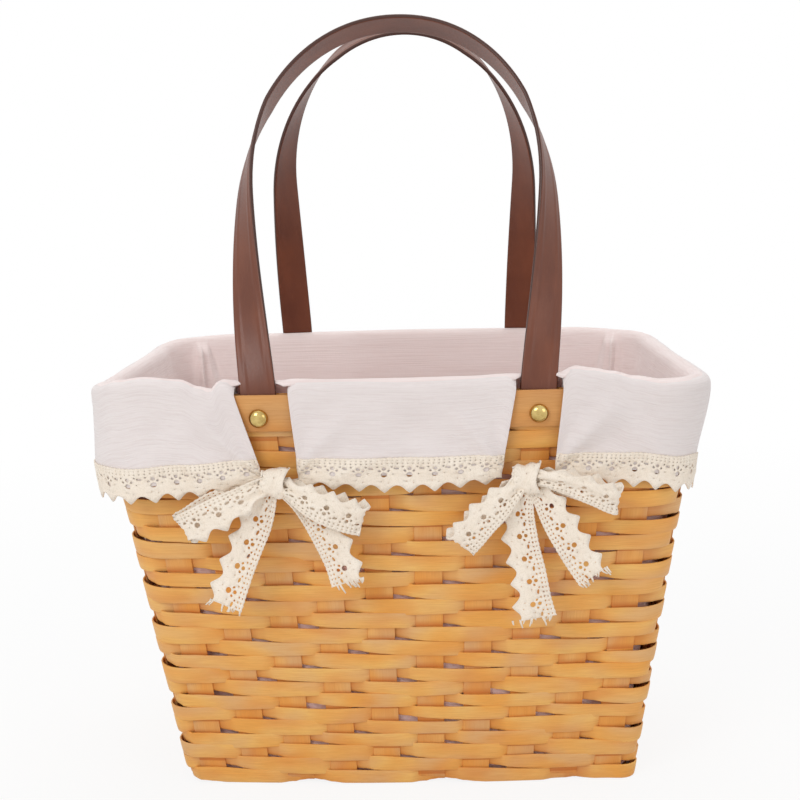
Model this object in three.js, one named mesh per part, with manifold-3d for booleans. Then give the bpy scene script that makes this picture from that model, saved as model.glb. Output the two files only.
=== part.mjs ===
// Splint basket with two strap handles, a cloth liner folded over the rim, lace hems and bows.
// Millimetres, +Z up, front toward -Y. The origin ends up under the middle of the bounding box.
import * as THREE from 'three';
import { mergeVertices } from 'three/addons/utils/BufferGeometryUtils.js';
import Module from 'manifold-3d';

const wasm = await Module();
wasm.setup();

// Woven body, measured to the middle of the upright splints
const wallHeight = 216;
const baseHalfLength = 117.5;
const baseHalfDepth = 66;
const baseCorner = 6;
const rimHalfLength = 154.5;
const rimHalfDepth = 95.5;
const rimCorner = 30;
const longBow = 4;
const shortBow = 1.5;

// Splints
const stakeWidth = 14;
const stakeThickness = 0.9;
const longSideStakes = 10;
const shortSideStakes = 6;
const longPitchBase = 23.2;
const longPitchRim = 27.4;
const shortPitchBase = 21.6;
const shortPitchRim = 25.6;
const stakeBend = 1.8;
const stakeTopGap = 1;
const weaverThickness = 0.8;
const rowCount = 25;
const firstRowHeight = 8.2;
const lastRowBelowRim = 25.4;
const rowPitch = (wallHeight - lastRowBelowRim - firstRowHeight) / (rowCount - 1);
const rowGap = 0.7;
const weaverWidth = rowPitch - rowGap;
const layerGap = 0.35;
const crossingLead = 0.5;
const weaverCrossings = 90;
const lapShort = 2;
const startStake = 26;
const floatPhase = 1;
const stepCrossings = 9;
const crossingShare = 0.3;
const turnShares = [0.25, 0.75];
const longColumns = 6;
const shortColumns = 4;
const hoopCornerSteps = 3;

// Rim hoops
const bandHeight = 18.5;
const bandThickness = 1.4;

// Handles: one strap each, on edge over the top and turned flat into the rim
const strapWidth = 18;
const strapThickness = 1.8;
const strapEndDepth = 17.5;
const hingeAboveRim = 1.5;
const hingeThickness = 0.6;
const hingeTaper = 2;
const handleReach = 191.5;
const handleBulge = 75.2;
const bulgeHeight = 98;
const handleRoundness = 2.15;
const twistLength = 152;
const frontLeanAngle = 21;
const backLeanAngle = 19;
const hingeStep = 0.1;
const handleSteps = 40;

// Rivets
const rivetBelowRim = 11;
const rivetHeadRadius = 4.8;
const rivetHeadHeight = 2.3;
const rivetShankRadius = 1.6;
const rivetTailRadius = 2.3;
const rivetTailHeight = 0.8;
const washerRadius = 3.8;
const washerThickness = 0.8;
const holeSides = 6;
const holeCutLength = 30;
const roundSides = 10;
const headSteps = 3;

// Liner
const clothThickness = 1;
const bagInset = 5.4;
const bagCornerColumns = 3;
const bagTopAboveRim = 5.4;
const foldAboveRim = 8;
const foldOut = 6;
const hemBelowRim = 34.5;
const hemOut = 8.2;
const hemWave = 1.2;
const hemWaveLength = 54;
const clothColumn = 15;
const slitTopInner = 53.5;
const slitTopOuter = 80;
const slitHemInner = 50;
const slitHemOuter = 73;

// Lace and bows
const laceThickness = 0.9;
const laceDepth = 15;
const scallopPitch = 12;
const scallopDepth = 3.2;
const ribbonWidth = 18;
const ribbonThickness = 1;
const knotWidth = 15;
const knotHeight = 12;
const knotDepth = 9;
const knotForward = 3;
const knotBelowRim = 43;
const tieWidth = 9;
const tieLap = 4;
const loopDepth = 5;
const loopForward = 3.2;
const loopNeck = 7;
const tailNeck = 6;
const tailStart = 3;
const tailWave = 2;
const tailLayer = 1.2;
const loopSteps = 8;
const loopOpening = 0.04;
const loopDroopCurve = 1.5;
const tailSteps = 5;
const neckShare = 2;
const knotSides = 8;
const knotRings = 6;
const clearance = 0.3;
const knotPlace = (slitHemInner + slitHemOuter) / 2;
const slitHalf = (slitHemOuter - slitHemInner) / 2;

// Reach and droop of each loop, spread and fall of each tail: inner is toward the middle of the wall
const leftOuterReach = 50;
const leftOuterDroop = 23;
const leftInnerReach = 48;
const leftInnerDroop = 13;
const leftOuterSpread = 15;
const leftOuterFall = 60;
const leftInnerSpread = 35;
const leftInnerFall = 50;
const rightInnerReach = 38;
const rightInnerDroop = 32;
const rightOuterReach = 48;
const rightOuterDroop = 6;
const rightInnerSpread = 0;
const rightInnerFall = 68;
const rightOuterSpread = 29;
const rightOuterFall = 50;

// Each bow as seen by someone facing it, with way -1 to the left
const leftBow = {
  loops: [
    { way: -1, reach: leftOuterReach, droop: leftOuterDroop },
    { way: 1, reach: leftInnerReach, droop: leftInnerDroop },
  ],
  tails: [
    { way: -1, spread: leftOuterSpread, fall: leftOuterFall },
    { way: 1, spread: leftInnerSpread, fall: leftInnerFall },
  ],
};
const rightBow = {
  loops: [
    { way: -1, reach: rightInnerReach, droop: rightInnerDroop },
    { way: 1, reach: rightOuterReach, droop: rightOuterDroop },
  ],
  tails: [
    { way: 1, spread: rightInnerSpread, fall: rightInnerFall },
    { way: 1, spread: rightOuterSpread, fall: rightOuterFall },
  ],
};

// Finishes
const palette = {
  stake: { color: 0xd9a45c, roughness: 0.6, metalness: 0 },
  weaver: { color: 0xe0b06a, roughness: 0.6, metalness: 0 },
  band: { color: 0xdba863, roughness: 0.55, metalness: 0 },
  strap: { color: 0x7a4a36, roughness: 0.35, metalness: 0 },
  brass: { color: 0xb8924a, roughness: 0.3, metalness: 1 },
  cloth: { color: 0xe9dedb, roughness: 0.9, metalness: 0 },
  lace: { color: 0xf0e7d6, roughness: 0.9, metalness: 0 },
};

const basket = new THREE.Group();

function add(name, geometry, finish) {
  const mesh = new THREE.Mesh(geometry, new THREE.MeshStandardMaterial(palette[finish]));
  mesh.name = name;
  basket.add(mesh);
}

// Helpers for closed bodies
const mix = THREE.MathUtils.lerp;
const upward = new THREE.Vector3(0, 0, 1);

// Corners of a strip's section, across its width and through its thickness
function rectangle(width, thickness) {
  const w = width / 2;
  const t = thickness / 2;
  return [[-w, -t], [w, -t], [w, t], [-w, t]];
}

function signedVolume(points, faces) {
  const cross = new THREE.Vector3();
  const wedges = faces.map(([a, b, c]) => points[a].dot(cross.crossVectors(points[b], points[c])));
  return wedges.reduce((sum, wedge) => sum + wedge, 0) / 6;
}

function solidGeometry(points, faces) {
  const outward = signedVolume(points, faces) > 0;
  const geometry = new THREE.BufferGeometry();
  const coordinates = points.flatMap((p) => [p.x, p.y, p.z]);
  geometry.setAttribute('position', new THREE.Float32BufferAttribute(coordinates, 3));
  geometry.setIndex(faces.flatMap(([a, b, c]) => (outward ? [a, b, c] : [a, c, b])));
  geometry.computeVertexNormals();
  return geometry;
}

// A solid through a row of four-cornered sections
function sweptStrip(sections, closed = false) {
  const points = sections.flat();
  const faces = [];
  const last = closed ? sections.length : sections.length - 1;
  for (let i = 0; i < last; i += 1) {
    const a = i * 4;
    const b = ((i + 1) % sections.length) * 4;
    for (let j = 0; j < 4; j += 1) {
      const k = (j + 1) % 4;
      faces.push([a + j, a + k, b + k], [a + j, b + k, b + j]);
    }
  }
  if (!closed) {
    const end = (sections.length - 1) * 4;
    faces.push([0, 2, 1], [0, 3, 2], [end, end + 1, end + 2], [end, end + 2, end + 3]);
  }
  return solidGeometry(points, faces);
}

// A thin panel between two grids of points, both indexed column by row
function panelSolid(outer, inner) {
  const columns = outer.length;
  const rows = outer[0].length;
  const points = [...outer.flat(), ...inner.flat()];
  const shift = columns * rows;
  const at = (i, j) => i * rows + j;
  const faces = [];
  const quad = (a, b, c, d) => faces.push([a, b, c], [a, c, d]);
  for (let i = 0; i < columns - 1; i += 1) {
    for (let j = 0; j < rows - 1; j += 1) {
      quad(at(i, j), at(i + 1, j), at(i + 1, j + 1), at(i, j + 1));
      quad(shift + at(i, j), shift + at(i, j + 1), shift + at(i + 1, j + 1), shift + at(i + 1, j));
    }
    quad(at(i, 0), shift + at(i, 0), shift + at(i + 1, 0), at(i + 1, 0));
    quad(at(i, rows - 1), at(i + 1, rows - 1), shift + at(i + 1, rows - 1), shift + at(i, rows - 1));
  }
  const last = columns - 1;
  for (let j = 0; j < rows - 1; j += 1) {
    quad(at(0, j), at(0, j + 1), shift + at(0, j + 1), shift + at(0, j));
    quad(at(last, j), shift + at(last, j), shift + at(last, j + 1), at(last, j + 1));
  }
  return solidGeometry(points, faces);
}

function toManifold(geometry) {
  const bare = geometry.clone();
  bare.deleteAttribute('normal');
  bare.deleteAttribute('uv');
  const merged = mergeVertices(bare);
  return new wasm.Manifold(new wasm.Mesh({
    numProp: 3,
    vertProperties: new Float32Array(merged.attributes.position.array),
    triVerts: new Uint32Array(merged.index.array),
  }));
}

function fromManifold(solid) {
  const mesh = solid.getMesh();
  const geometry = new THREE.BufferGeometry();
  geometry.setAttribute('position', new THREE.BufferAttribute(mesh.vertProperties, 3));
  geometry.setIndex(new THREE.BufferAttribute(mesh.triVerts, 1));
  geometry.computeVertexNormals();
  return geometry;
}

// Wall surface: four flared sides joined by rounded corners, counted round from the front
const sides = [
  { tangent: new THREE.Vector3(1, 0, 0), outward: new THREE.Vector3(0, -1, 0), long: true },
  { tangent: new THREE.Vector3(0, 1, 0), outward: new THREE.Vector3(1, 0, 0), long: false },
  { tangent: new THREE.Vector3(-1, 0, 0), outward: new THREE.Vector3(0, 1, 0), long: true },
  { tangent: new THREE.Vector3(0, -1, 0), outward: new THREE.Vector3(-1, 0, 0), long: false },
];
const [front, right, back, left] = sides;

function wallSize(side, z) {
  const t = z / wallHeight;
  const length = mix(baseHalfLength, rimHalfLength, t);
  const depth = mix(baseHalfDepth, rimHalfDepth, t);
  const corner = mix(baseCorner, rimCorner, t);
  const half = side.long ? length : depth;
  return { half, reach: side.long ? depth : length, corner, straight: half - corner };
}

function place(side, along, out, z) {
  return new THREE.Vector3(0, 0, z).addScaledVector(side.tangent, along).addScaledVector(side.outward, out);
}

function wallPoint(side, along, z, out) {
  const { reach, straight } = wallSize(side, z);
  const bow = (side.long ? longBow : shortBow) * (1 - (along / straight) ** 2);
  return place(side, along, reach + bow + out, z);
}

function cornerPoint(side, angle, z, out) {
  const { reach, straight, corner } = wallSize(side, z);
  const radius = corner + out;
  return place(side, straight + radius * Math.sin(angle), reach - corner + radius * Math.cos(angle), z);
}

// Uprights: numbered round the wall from the front left
function pitchAt(side, z) {
  const t = z / wallHeight;
  return side.long ? mix(longPitchBase, longPitchRim, t) : mix(shortPitchBase, shortPitchRim, t);
}

function stakesOn(side) {
  return side.long ? longSideStakes : shortSideStakes;
}

function stakeAlong(side, index, z) {
  return (index - (stakesOn(side) - 1) / 2) * pitchAt(side, z);
}

const uprights = sides.flatMap((side) => {
  const places = Array(stakesOn(side)).fill(side);
  return places.map((_, index) => ({ side, index }));
});

const lowLevel = stakeThickness / 2;
const layerStep = stakeThickness + clearance;
const crossLevel = lowLevel + layerStep;
const highLevel = crossLevel + layerStep;

const stakeCorners = rectangle(stakeWidth, stakeThickness);

function wallSections(side, index, level) {
  const zs = [level + stakeBend, wallHeight - stakeTopGap];
  return zs.map((z) => {
    const along = stakeAlong(side, index, z);
    return stakeCorners.map(([w, o]) => wallPoint(side, along + w, z, o));
  });
}

// Sections of the turn from the base into the wall, ordered outward
function bendSections(side, index, level) {
  const foot = level + stakeBend;
  const along = stakeAlong(side, index, foot);
  const reach = wallSize(side, foot).reach;
  const bow = (side.long ? longBow : shortBow) * (1 - (along / wallSize(side, foot).straight) ** 2);
  return [0, Math.PI / 4].map((angle) => {
    const out = reach + bow - stakeBend + stakeBend * Math.sin(angle);
    const z = level + stakeBend * (1 - Math.cos(angle));
    const normal = { out: Math.sin(angle), z: -Math.cos(angle) };
    return stakeCorners.map(([w, o]) => place(side, along + w, out + normal.out * o, z + normal.z * o));
  });
}

// Turns a section seen from one side so that it matches the order seen from the opposite side
function mirrorSection([a, b, c, d]) {
  return [b, a, d, c];
}

function stakeSolid(side, opposite, index, levels, basePoints) {
  const count = stakesOn(side);
  const far = count - 1 - index;
  const sectionsOn = (s, i, level) => [...bendSections(s, i, level), ...wallSections(s, i, level)];
  const start = sectionsOn(side, index, levels[0]).reverse();
  const end = sectionsOn(opposite, far, levels[1]).map(mirrorSection);
  return sweptStrip([...start, ...basePoints, ...end]);
}

function crossStakes() {
  for (let i = 0; i < longSideStakes; i += 1) {
    const stake = stakeSolid(front, back, i, [crossLevel, crossLevel], []);
    add(`cross_stake_${i + 1}`, drillStake(stake, i), 'stake');
  }
}

function longStakes() {
  const half = stakeWidth / 2;
  const corners = rectangle(stakeWidth, -stakeThickness);
  for (let i = 0; i < shortSideStakes; i += 1) {
    const across = stakeAlong(right, i, 0);
    const levelAt = (j) => ((i + j) % 2 ? highLevel : lowLevel);
    const points = [];
    for (let j = 0; j < longSideStakes; j += 1) {
      const centre = stakeAlong(front, longSideStakes - 1 - j, 0);
      const z = levelAt(j);
      [half + crossingLead, -half - crossingLead].forEach((lead) => {
        const atEnd = (j === 0 && lead > 0) || (j === longSideStakes - 1 && lead < 0);
        if (!atEnd) {
          points.push(corners.map(([w, o]) => new THREE.Vector3(centre + lead, across + w, z + o)));
        }
      });
    }
    const levels = [levelAt(0), levelAt(longSideStakes - 1)];
    add(`long_stake_${i + 1}`, stakeSolid(right, left, i, levels, points), 'stake');
  }
}

// Weavers: over two uprights and under one, round and round, with one row's rise at the back
const weaveOut = stakeThickness / 2 + layerGap + weaverThickness / 2;
const lapOut = weaveOut + weaverThickness + layerGap;
const uprightCount = uprights.length;
const totalCrossings = rowCount * uprightCount - stepCrossings;

function rowLevel(crossing) {
  const round = Math.floor(crossing / uprightCount + 0.5 / uprightCount);
  const within = crossing - round * uprightCount;
  const rise = THREE.MathUtils.smoothstep(within, uprightCount - 0.5 - stepCrossings, uprightCount - 0.5);
  return firstRowHeight + rowPitch * (round + rise);
}

function uprightAt(crossing) {
  return uprights[(startStake + crossing) % uprightCount];
}

function goesInside(crossing) {
  return (crossing + floatPhase) % 3 === 0;
}

function weaverSection(point, crossing, out) {
  const z = rowLevel(crossing);
  return rectangle(weaverWidth, weaverThickness).map(([h, o]) => point(z + h, out + o));
}

function weaverSolid(first, last, lapStart, lapEnd) {
  const sections = [];
  const lead = stakeWidth / 2 + crossingLead;
  for (let crossing = first; crossing <= last; crossing += 1) {
    const { side, index } = uprightAt(crossing);
    const next = uprightAt(crossing + 1);
    const turns = next.side !== side;
    const cameRound = crossing > first && uprightAt(crossing - 1).side !== side;
    const lapped = lapStart && crossing === first;
    const inside = goesInside(crossing);
    const depth = lapped ? -lapOut : -weaveOut;
    const out = inside ? depth : weaveOut;
    const pointAt = (offset) => (z, o) => wallPoint(side, stakeAlong(side, index, z) + offset, z, o);
    if (crossing === first || cameRound || goesInside(crossing - 1) !== inside) {
      sections.push(weaverSection(pointAt(-lead), crossing - crossingShare, out));
    }
    if (crossing === last) {
      const trim = lapEnd ? lapShort : 0;
      sections.push(weaverSection(pointAt(stakeWidth / 2 - trim), crossing + crossingShare, out));
      break;
    }
    if (turns || goesInside(crossing + 1) !== inside) {
      sections.push(weaverSection(pointAt(lead), crossing + crossingShare, out));
    }
    if (turns) {
      const nextOut = goesInside(crossing + 1) ? -weaveOut : weaveOut;
      turnShares.forEach((share) => {
        const round = (z, o) => cornerPoint(side, share * Math.PI / 2, z, o);
        const progress = mix(crossing + crossingShare, crossing + 1 - crossingShare, share);
        sections.push(weaverSection(round, progress, mix(out, nextOut, share)));
      });
    }
  }
  return sweptStrip(sections);
}

function weavers() {
  const firstLap = [0, 1, 2].find(goesInside);
  let start = 0;
  let number = 1;
  while (start < totalCrossings - 1) {
    const lapAt = firstLap + number * weaverCrossings;
    const end = Math.min(lapAt, totalCrossings - 1);
    add(`weaver_${number}`, weaverSolid(start, end, start > 0, end === lapAt), 'weaver');
    start = end;
    number += 1;
  }
}

// Rim hoops, outside and inside the upright tops
const outerBandFace = stakeThickness / 2 + clearance + strapThickness + clearance;
const outerBandOut = outerBandFace + bandThickness / 2;
const innerBandOut = -(stakeThickness / 2 + clearance + bandThickness / 2);
const rivetHeight = wallHeight - rivetBelowRim;
const strapOut = stakeThickness / 2 + clearance + strapThickness / 2;
const strapPlace = stakeAlong(front, longSideStakes - 3, wallHeight);
const strapStake = 2;

function hoopSections(out) {
  const sections = [];
  const middle = wallHeight - bandHeight / 2;
  const corners = rectangle(bandHeight, -bandThickness);
  const ring = (point) => sections.push(corners.map(([h, o]) => point(middle + h, out + o)));
  sides.forEach((side) => {
    const steps = side.long ? longColumns : shortColumns;
    for (let i = 0; i <= steps; i += 1) {
      ring((z, o) => wallPoint(side, wallSize(side, z).straight * (2 * i / steps - 1), z, o));
    }
    for (let i = 1; i <= hoopCornerSteps; i += 1) {
      ring((z, o) => cornerPoint(side, i / (hoopCornerSteps + 1) * Math.PI / 2, z, o));
    }
  });
  return sections;
}

// Rivet places: frames on the wall with Z pointing straight out of it
function wallFrame(side, along, z) {
  const origin = wallPoint(side, along, z, 0);
  const up = wallPoint(side, along, z + 1, 0).sub(wallPoint(side, along, z - 1, 0)).normalize();
  const tangent = wallPoint(side, along + 1, z, 0).sub(wallPoint(side, along - 1, z, 0)).normalize();
  const normal = tangent.clone().cross(up).normalize();
  return new THREE.Matrix4().makeBasis(tangent, up, normal).setPosition(origin);
}

const rivetPlaces = [front, back].flatMap((side) => [-1, 1].map((way) => {
  const end = side === front ? 'front' : 'back';
  const hand = way * side.tangent.x < 0 ? 'left' : 'right';
  return { side, label: `${end}_${hand}`, along: way * strapPlace };
}));

function holeCutter(frame, radius) {
  const hole = new THREE.CylinderGeometry(radius, radius, holeCutLength, holeSides);
  hole.rotateX(Math.PI / 2);
  return toManifold(hole.applyMatrix4(frame));
}

function drill(geometry, places) {
  const radius = rivetShankRadius + clearance;
  let solid = toManifold(geometry);
  places.forEach(({ side, along }) => {
    solid = solid.subtract(holeCutter(wallFrame(side, along, rivetHeight), radius));
  });
  return fromManifold(solid);
}

function drillStake(geometry, index) {
  const onStrap = index === strapStake || index === longSideStakes - 1 - strapStake;
  const hand = index === strapStake ? 'left' : 'right';
  return onStrap ? drill(geometry, rivetPlaces.filter(({ label }) => label.endsWith(hand))) : geometry;
}

function rimBands() {
  add('rim_band_outer', drill(sweptStrip(hoopSections(outerBandOut), true), rivetPlaces), 'band');
  add('rim_band_inner', drill(sweptStrip(hoopSections(innerBandOut), true), rivetPlaces), 'band');
}

// Lathe profiles run along the rivet's axis, with zero at the middle of the wall
function rivets() {
  const headNear = outerBandFace + bandThickness + clearance;
  const washerNear = innerBandOut - bandThickness / 2 - clearance;
  const tailNear = washerNear - washerThickness - clearance;
  const headPoints = Array.from({ length: headSteps }, (_, i) => {
    const angle = i / headSteps * Math.PI / 2;
    const rise = rivetHeadHeight * Math.sin(angle);
    return new THREE.Vector2(rivetHeadRadius * Math.cos(angle), headNear + rise);
  });
  const profile = [
    new THREE.Vector2(0, tailNear - rivetTailHeight),
    new THREE.Vector2(rivetTailRadius, tailNear - rivetTailHeight),
    new THREE.Vector2(rivetTailRadius, tailNear),
    new THREE.Vector2(rivetShankRadius, tailNear),
    new THREE.Vector2(rivetShankRadius, headNear),
    ...headPoints,
    new THREE.Vector2(0, headNear + rivetHeadHeight),
  ];
  const bore = rivetShankRadius + clearance;
  const ring = [
    new THREE.Vector2(bore, 0),
    new THREE.Vector2(washerRadius, 0),
    new THREE.Vector2(washerRadius, washerThickness),
    new THREE.Vector2(bore, washerThickness),
    new THREE.Vector2(bore, 0),
  ];
  rivetPlaces.forEach(({ side, label, along }) => {
    const seat = wallFrame(side, along, rivetHeight);
    const rivet = new THREE.LatheGeometry(profile, roundSides).rotateX(Math.PI / 2).applyMatrix4(seat);
    add(`rivet_${label}`, fromManifold(toManifold(rivet)), 'brass');
    const washer = new THREE.LatheGeometry(ring, roundSides);
    washer.rotateX(Math.PI / 2).translate(0, 0, washerNear - washerThickness).applyMatrix4(seat);
    add(`rivet_washer_${label}`, fromManifold(toManifold(washer)), 'brass');
  });
}

// Handles
const hingeHeight = wallHeight + hingeAboveRim;
const hingeReach = wallPoint(front, strapPlace, wallHeight, strapOut).y * -1;

// Half of the handle's outline in its own plane, from the rim to the top
function handleOutline(t) {
  const rise = bulgeHeight / handleReach;
  if (t < rise) {
    return { x: mix(strapPlace, handleBulge, Math.sin(t / rise * Math.PI / 2)), s: t * handleReach };
  }
  const angle = (t - rise) / (1 - rise) * Math.PI / 2;
  const power = 2 / handleRoundness;
  return {
    x: handleBulge * Math.cos(angle) ** power,
    s: bulgeHeight + (handleReach - bulgeHeight) * Math.sin(angle) ** power,
  };
}

function outlinePoints() {
  const half = handleSteps / 2;
  const leg = [{ x: strapPlace, s: 0 }, { x: strapPlace + hingeStep, s: hingeTaper }];
  for (let i = 1; i < half; i += 1) {
    leg.push(handleOutline(i / half));
  }
  const arm = leg.map(({ x, s }) => ({ x: -x, s }));
  return [...arm, { x: 0, s: handleReach }, ...leg.reverse()];
}

function handleSolid(side, leanAngle) {
  const lean = THREE.MathUtils.degToRad(leanAngle);
  const points = outlinePoints();
  const lengths = [0];
  for (let i = 1; i < points.length; i += 1) {
    lengths.push(lengths[i - 1] + Math.hypot(points[i].x - points[i - 1].x, points[i].s - points[i - 1].s));
  }
  const total = lengths[lengths.length - 1];
  const plane = (x, s, off) => {
    const out = hingeReach - s * Math.sin(lean) + off * Math.cos(lean);
    return place(side, x, out, hingeHeight + s * Math.cos(lean) + off * Math.sin(lean));
  };
  const sections = points.map((point, i) => {
    const before = points[Math.max(i - 1, 0)];
    const after = points[Math.min(i + 1, points.length - 1)];
    const atEnd = i === 0 || i === points.length - 1;
    const run = new THREE.Vector2(atEnd ? 0 : after.x - before.x, after.s - before.s).normalize();
    const across = new THREE.Vector2(run.y, -run.x);
    const fromRim = Math.min(lengths[i], total - lengths[i]);
    const twist = Math.min(fromRim / twistLength, 1) * Math.PI / 2;
    const wide = { x: across.x * Math.cos(twist), s: across.y * Math.cos(twist), off: Math.sin(twist) };
    const thin = { x: -across.x * Math.sin(twist), s: -across.y * Math.sin(twist), off: Math.cos(twist) };
    return rectangle(strapWidth, atEnd ? hingeThickness : strapThickness).map(([a, b]) => plane(
      point.x + wide.x * a + thin.x * b,
      point.s + wide.s * a + thin.s * b,
      wide.off * a + thin.off * b,
    ));
  });
  return sweptStrip(sections);
}

function strapEnd(side, along) {
  const top = hingeHeight - hingeThickness / 2 - clearance;
  const corners = rectangle(strapWidth, strapThickness);
  const section = (z) => corners.map(([a, o]) => wallPoint(side, along + a, z, strapOut + o));
  return sweptStrip([section(wallHeight - strapEndDepth), section(top)]);
}

function handles() {
  add('front_handle', handleSolid(front, frontLeanAngle), 'strap');
  add('back_handle', handleSolid(back, backLeanAngle), 'strap');
  rivetPlaces.forEach((spot) => {
    add(`handle_end_${spot.label}`, drill(strapEnd(spot.side, spot.along), [spot]), 'strap');
  });
}

// Liner bag
function ringPoints(z, out) {
  const points = [];
  sides.forEach((side) => {
    const { straight } = wallSize(side, z);
    const steps = side.long ? longColumns : shortColumns;
    for (let i = 0; i <= steps; i += 1) {
      points.push(wallPoint(side, straight * (2 * i / steps - 1), z, out));
    }
    for (let i = 1; i < bagCornerColumns; i += 1) {
      points.push(cornerPoint(side, i * Math.PI / 2 / bagCornerColumns, z, out));
    }
  });
  return points;
}

function linerBag() {
  const floor = highLevel + stakeThickness / 2 + clearance;
  const top = wallHeight + bagTopAboveRim;
  const outer = [floor, top].map((z) => ringPoints(z, -bagInset));
  const inner = [top, floor + clothThickness].map((z) => ringPoints(z, -bagInset - clothThickness));
  const rings = [...outer, ...inner];
  const count = rings[0].length;
  const points = rings.flat();
  const faces = [];
  for (let r = 0; r < rings.length - 1; r += 1) {
    const low = r * count;
    const high = low + count;
    for (let i = 0; i < count; i += 1) {
      const k = (i + 1) % count;
      faces.push([low + i, low + k, high + k], [low + i, high + k, high + i]);
    }
  }
  points.push(new THREE.Vector3(0, 0, floor), new THREE.Vector3(0, 0, floor + clothThickness));
  const lastRing = (rings.length - 1) * count;
  for (let i = 0; i < count; i += 1) {
    const k = (i + 1) % count;
    faces.push([points.length - 2, k, i], [points.length - 1, lastRing + i, lastRing + k]);
  }
  add('liner_bag', solidGeometry(points, faces), 'cloth');
}

// Panels that hang outside the rim between the handle slits
const hemHeight = wallHeight - hemBelowRim;

function slitEdge(inner, z) {
  const t = THREE.MathUtils.clamp((wallHeight - z) / hemBelowRim, 0, 1);
  return inner ? mix(slitTopInner, slitHemInner, t) : mix(slitTopOuter, slitHemOuter, t);
}

// A route along the wall made of pieces, each with its length at the hem
function panelRoute(pieces) {
  const lengths = pieces.map(({ at }) => at(0, hemHeight, 0).distanceTo(at(1, hemHeight, 0)));
  const total = lengths.reduce((sum, value) => sum + value, 0);
  const point = (distance, z, out) => {
    let rest = distance;
    let i = 0;
    while (i < pieces.length - 1 && rest > lengths[i]) {
      rest -= lengths[i];
      i += 1;
    }
    return pieces[i].at(Math.min(rest / lengths[i], 1), z, out);
  };
  let start = 0;
  const stops = lengths.flatMap((length) => {
    const count = Math.ceil(length / clothColumn);
    start += length;
    return Array.from({ length: count }, (_, i) => start - length + length * i / count);
  });
  return { total, point, stops: [...stops, total] };
}

function middleRoute(side) {
  const at = (f, z, out) => wallPoint(side, slitEdge(true, z) * (2 * f - 1), z, out);
  return panelRoute([{ at }]);
}

// Round one short side, from the slit on the long side before it to the slit on the long side after it
function endRoute(before, side, after) {
  const straight = (s, z) => wallSize(s, z).straight;
  const halfTurn = Math.PI / 4;
  return panelRoute([
    { at: (f, z, out) => wallPoint(before, mix(slitEdge(false, z), straight(before, z), f), z, out) },
    { at: (f, z, out) => cornerPoint(before, halfTurn * f, z, out) },
    { at: (f, z, out) => cornerPoint(before, halfTurn * (1 + f), z, out) },
    { at: (f, z, out) => wallPoint(side, straight(side, z) * (2 * f - 1), z, out) },
    { at: (f, z, out) => cornerPoint(side, halfTurn * f, z, out) },
    { at: (f, z, out) => cornerPoint(side, halfTurn * (1 + f), z, out) },
    { at: (f, z, out) => wallPoint(after, -mix(straight(after, z), slitEdge(false, z), f), z, out) },
  ]);
}

const routes = {
  front: middleRoute(front),
  right: endRoute(front, right, back),
  back: middleRoute(back),
  left: endRoute(back, left, front),
};

// The fold over the rim and the fall to the hem, seen in section
const foldProfile = [
  { out: -bagInset - clothThickness / 2, z: wallHeight + bagTopAboveRim + clearance + clothThickness / 2 },
  { out: -bagInset / 2, z: wallHeight + foldAboveRim },
  { out: foldOut / 2, z: wallHeight + foldAboveRim },
  { out: foldOut, z: wallHeight + foldAboveRim / 2 },
  { out: foldOut, z: wallHeight - bandHeight / 4 },
  { out: hemOut, z: hemHeight },
];

function profileNormal(i) {
  const a = foldProfile[Math.max(i - 1, 0)];
  const b = foldProfile[Math.min(i + 1, foldProfile.length - 1)];
  return new THREE.Vector2(a.z - b.z, b.out - a.out).normalize();
}

// Soft waves in the hanging cloth, flat at the slits
function hemSway(route, distance, z) {
  const share = THREE.MathUtils.clamp((wallHeight - z) / hemBelowRim, 0, 1);
  const waves = Math.round(route.total / hemWaveLength);
  return hemWave * share * Math.sin(2 * Math.PI * waves * distance / route.total);
}

function linerSkirt(name, route) {
  const face = (way) => route.stops.map((distance) => foldProfile.map(({ out, z }, j) => {
    const n = profileNormal(j);
    const t = way * clothThickness / 2;
    return route.point(distance, z + n.y * t, out + n.x * t + hemSway(route, distance, z));
  }));
  add(`liner_skirt_${name}`, panelSolid(face(1), face(-1)), 'cloth');
}

function laceHem(name, route) {
  const scallops = Math.round(route.total / scallopPitch);
  const columns = scallops * 2;
  const top = hemHeight - clearance;
  const out = hemOut;
  const face = (way) => Array.from({ length: columns + 1 }, (_, i) => {
    const distance = route.total * i / columns;
    const foot = top - laceDepth + (i % 2 === 0 ? scallopDepth : 0);
    const t = way * laceThickness / 2;
    return [top, foot].map((z) => route.point(distance, z, out + t + hemSway(route, distance, hemHeight)));
  });
  add(`lace_hem_${name}`, panelSolid(face(1), face(-1)), 'lace');
}

// Bows: a knot, two loops and two tails of one lace ribbon
function ribbonSection(centre, wide, thin, width) {
  return rectangle(width, ribbonThickness).map(([a, b]) => centre.clone()
    .addScaledVector(wide, a)
    .addScaledVector(thin, b));
}

function bowLoop({ way, reach, droop }) {
  const sections = [];
  for (let i = 0; i <= loopSteps; i += 1) {
    const t = mix(loopOpening, 1 - loopOpening, i / loopSteps);
    const along = Math.sin(Math.PI * t);
    const depth = loopDepth * Math.sin(2 * Math.PI * t) - loopForward;
    const run = new THREE.Vector3(
      way * reach * Math.PI * Math.cos(Math.PI * t),
      2 * Math.PI * loopDepth * Math.cos(2 * Math.PI * t),
      0,
    ).normalize();
    const centre = new THREE.Vector3(way * reach * along, depth, -droop * along ** loopDroopCurve);
    const wide = new THREE.Vector3(way * droop / reach, 0, 1).normalize();
    const thin = new THREE.Vector3().crossVectors(run, wide).normalize();
    const width = mix(loopNeck, ribbonWidth, Math.min(neckShare * along, 1));
    sections.push(ribbonSection(centre, wide, thin, width));
  }
  return toManifold(sweptStrip(sections));
}

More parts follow.
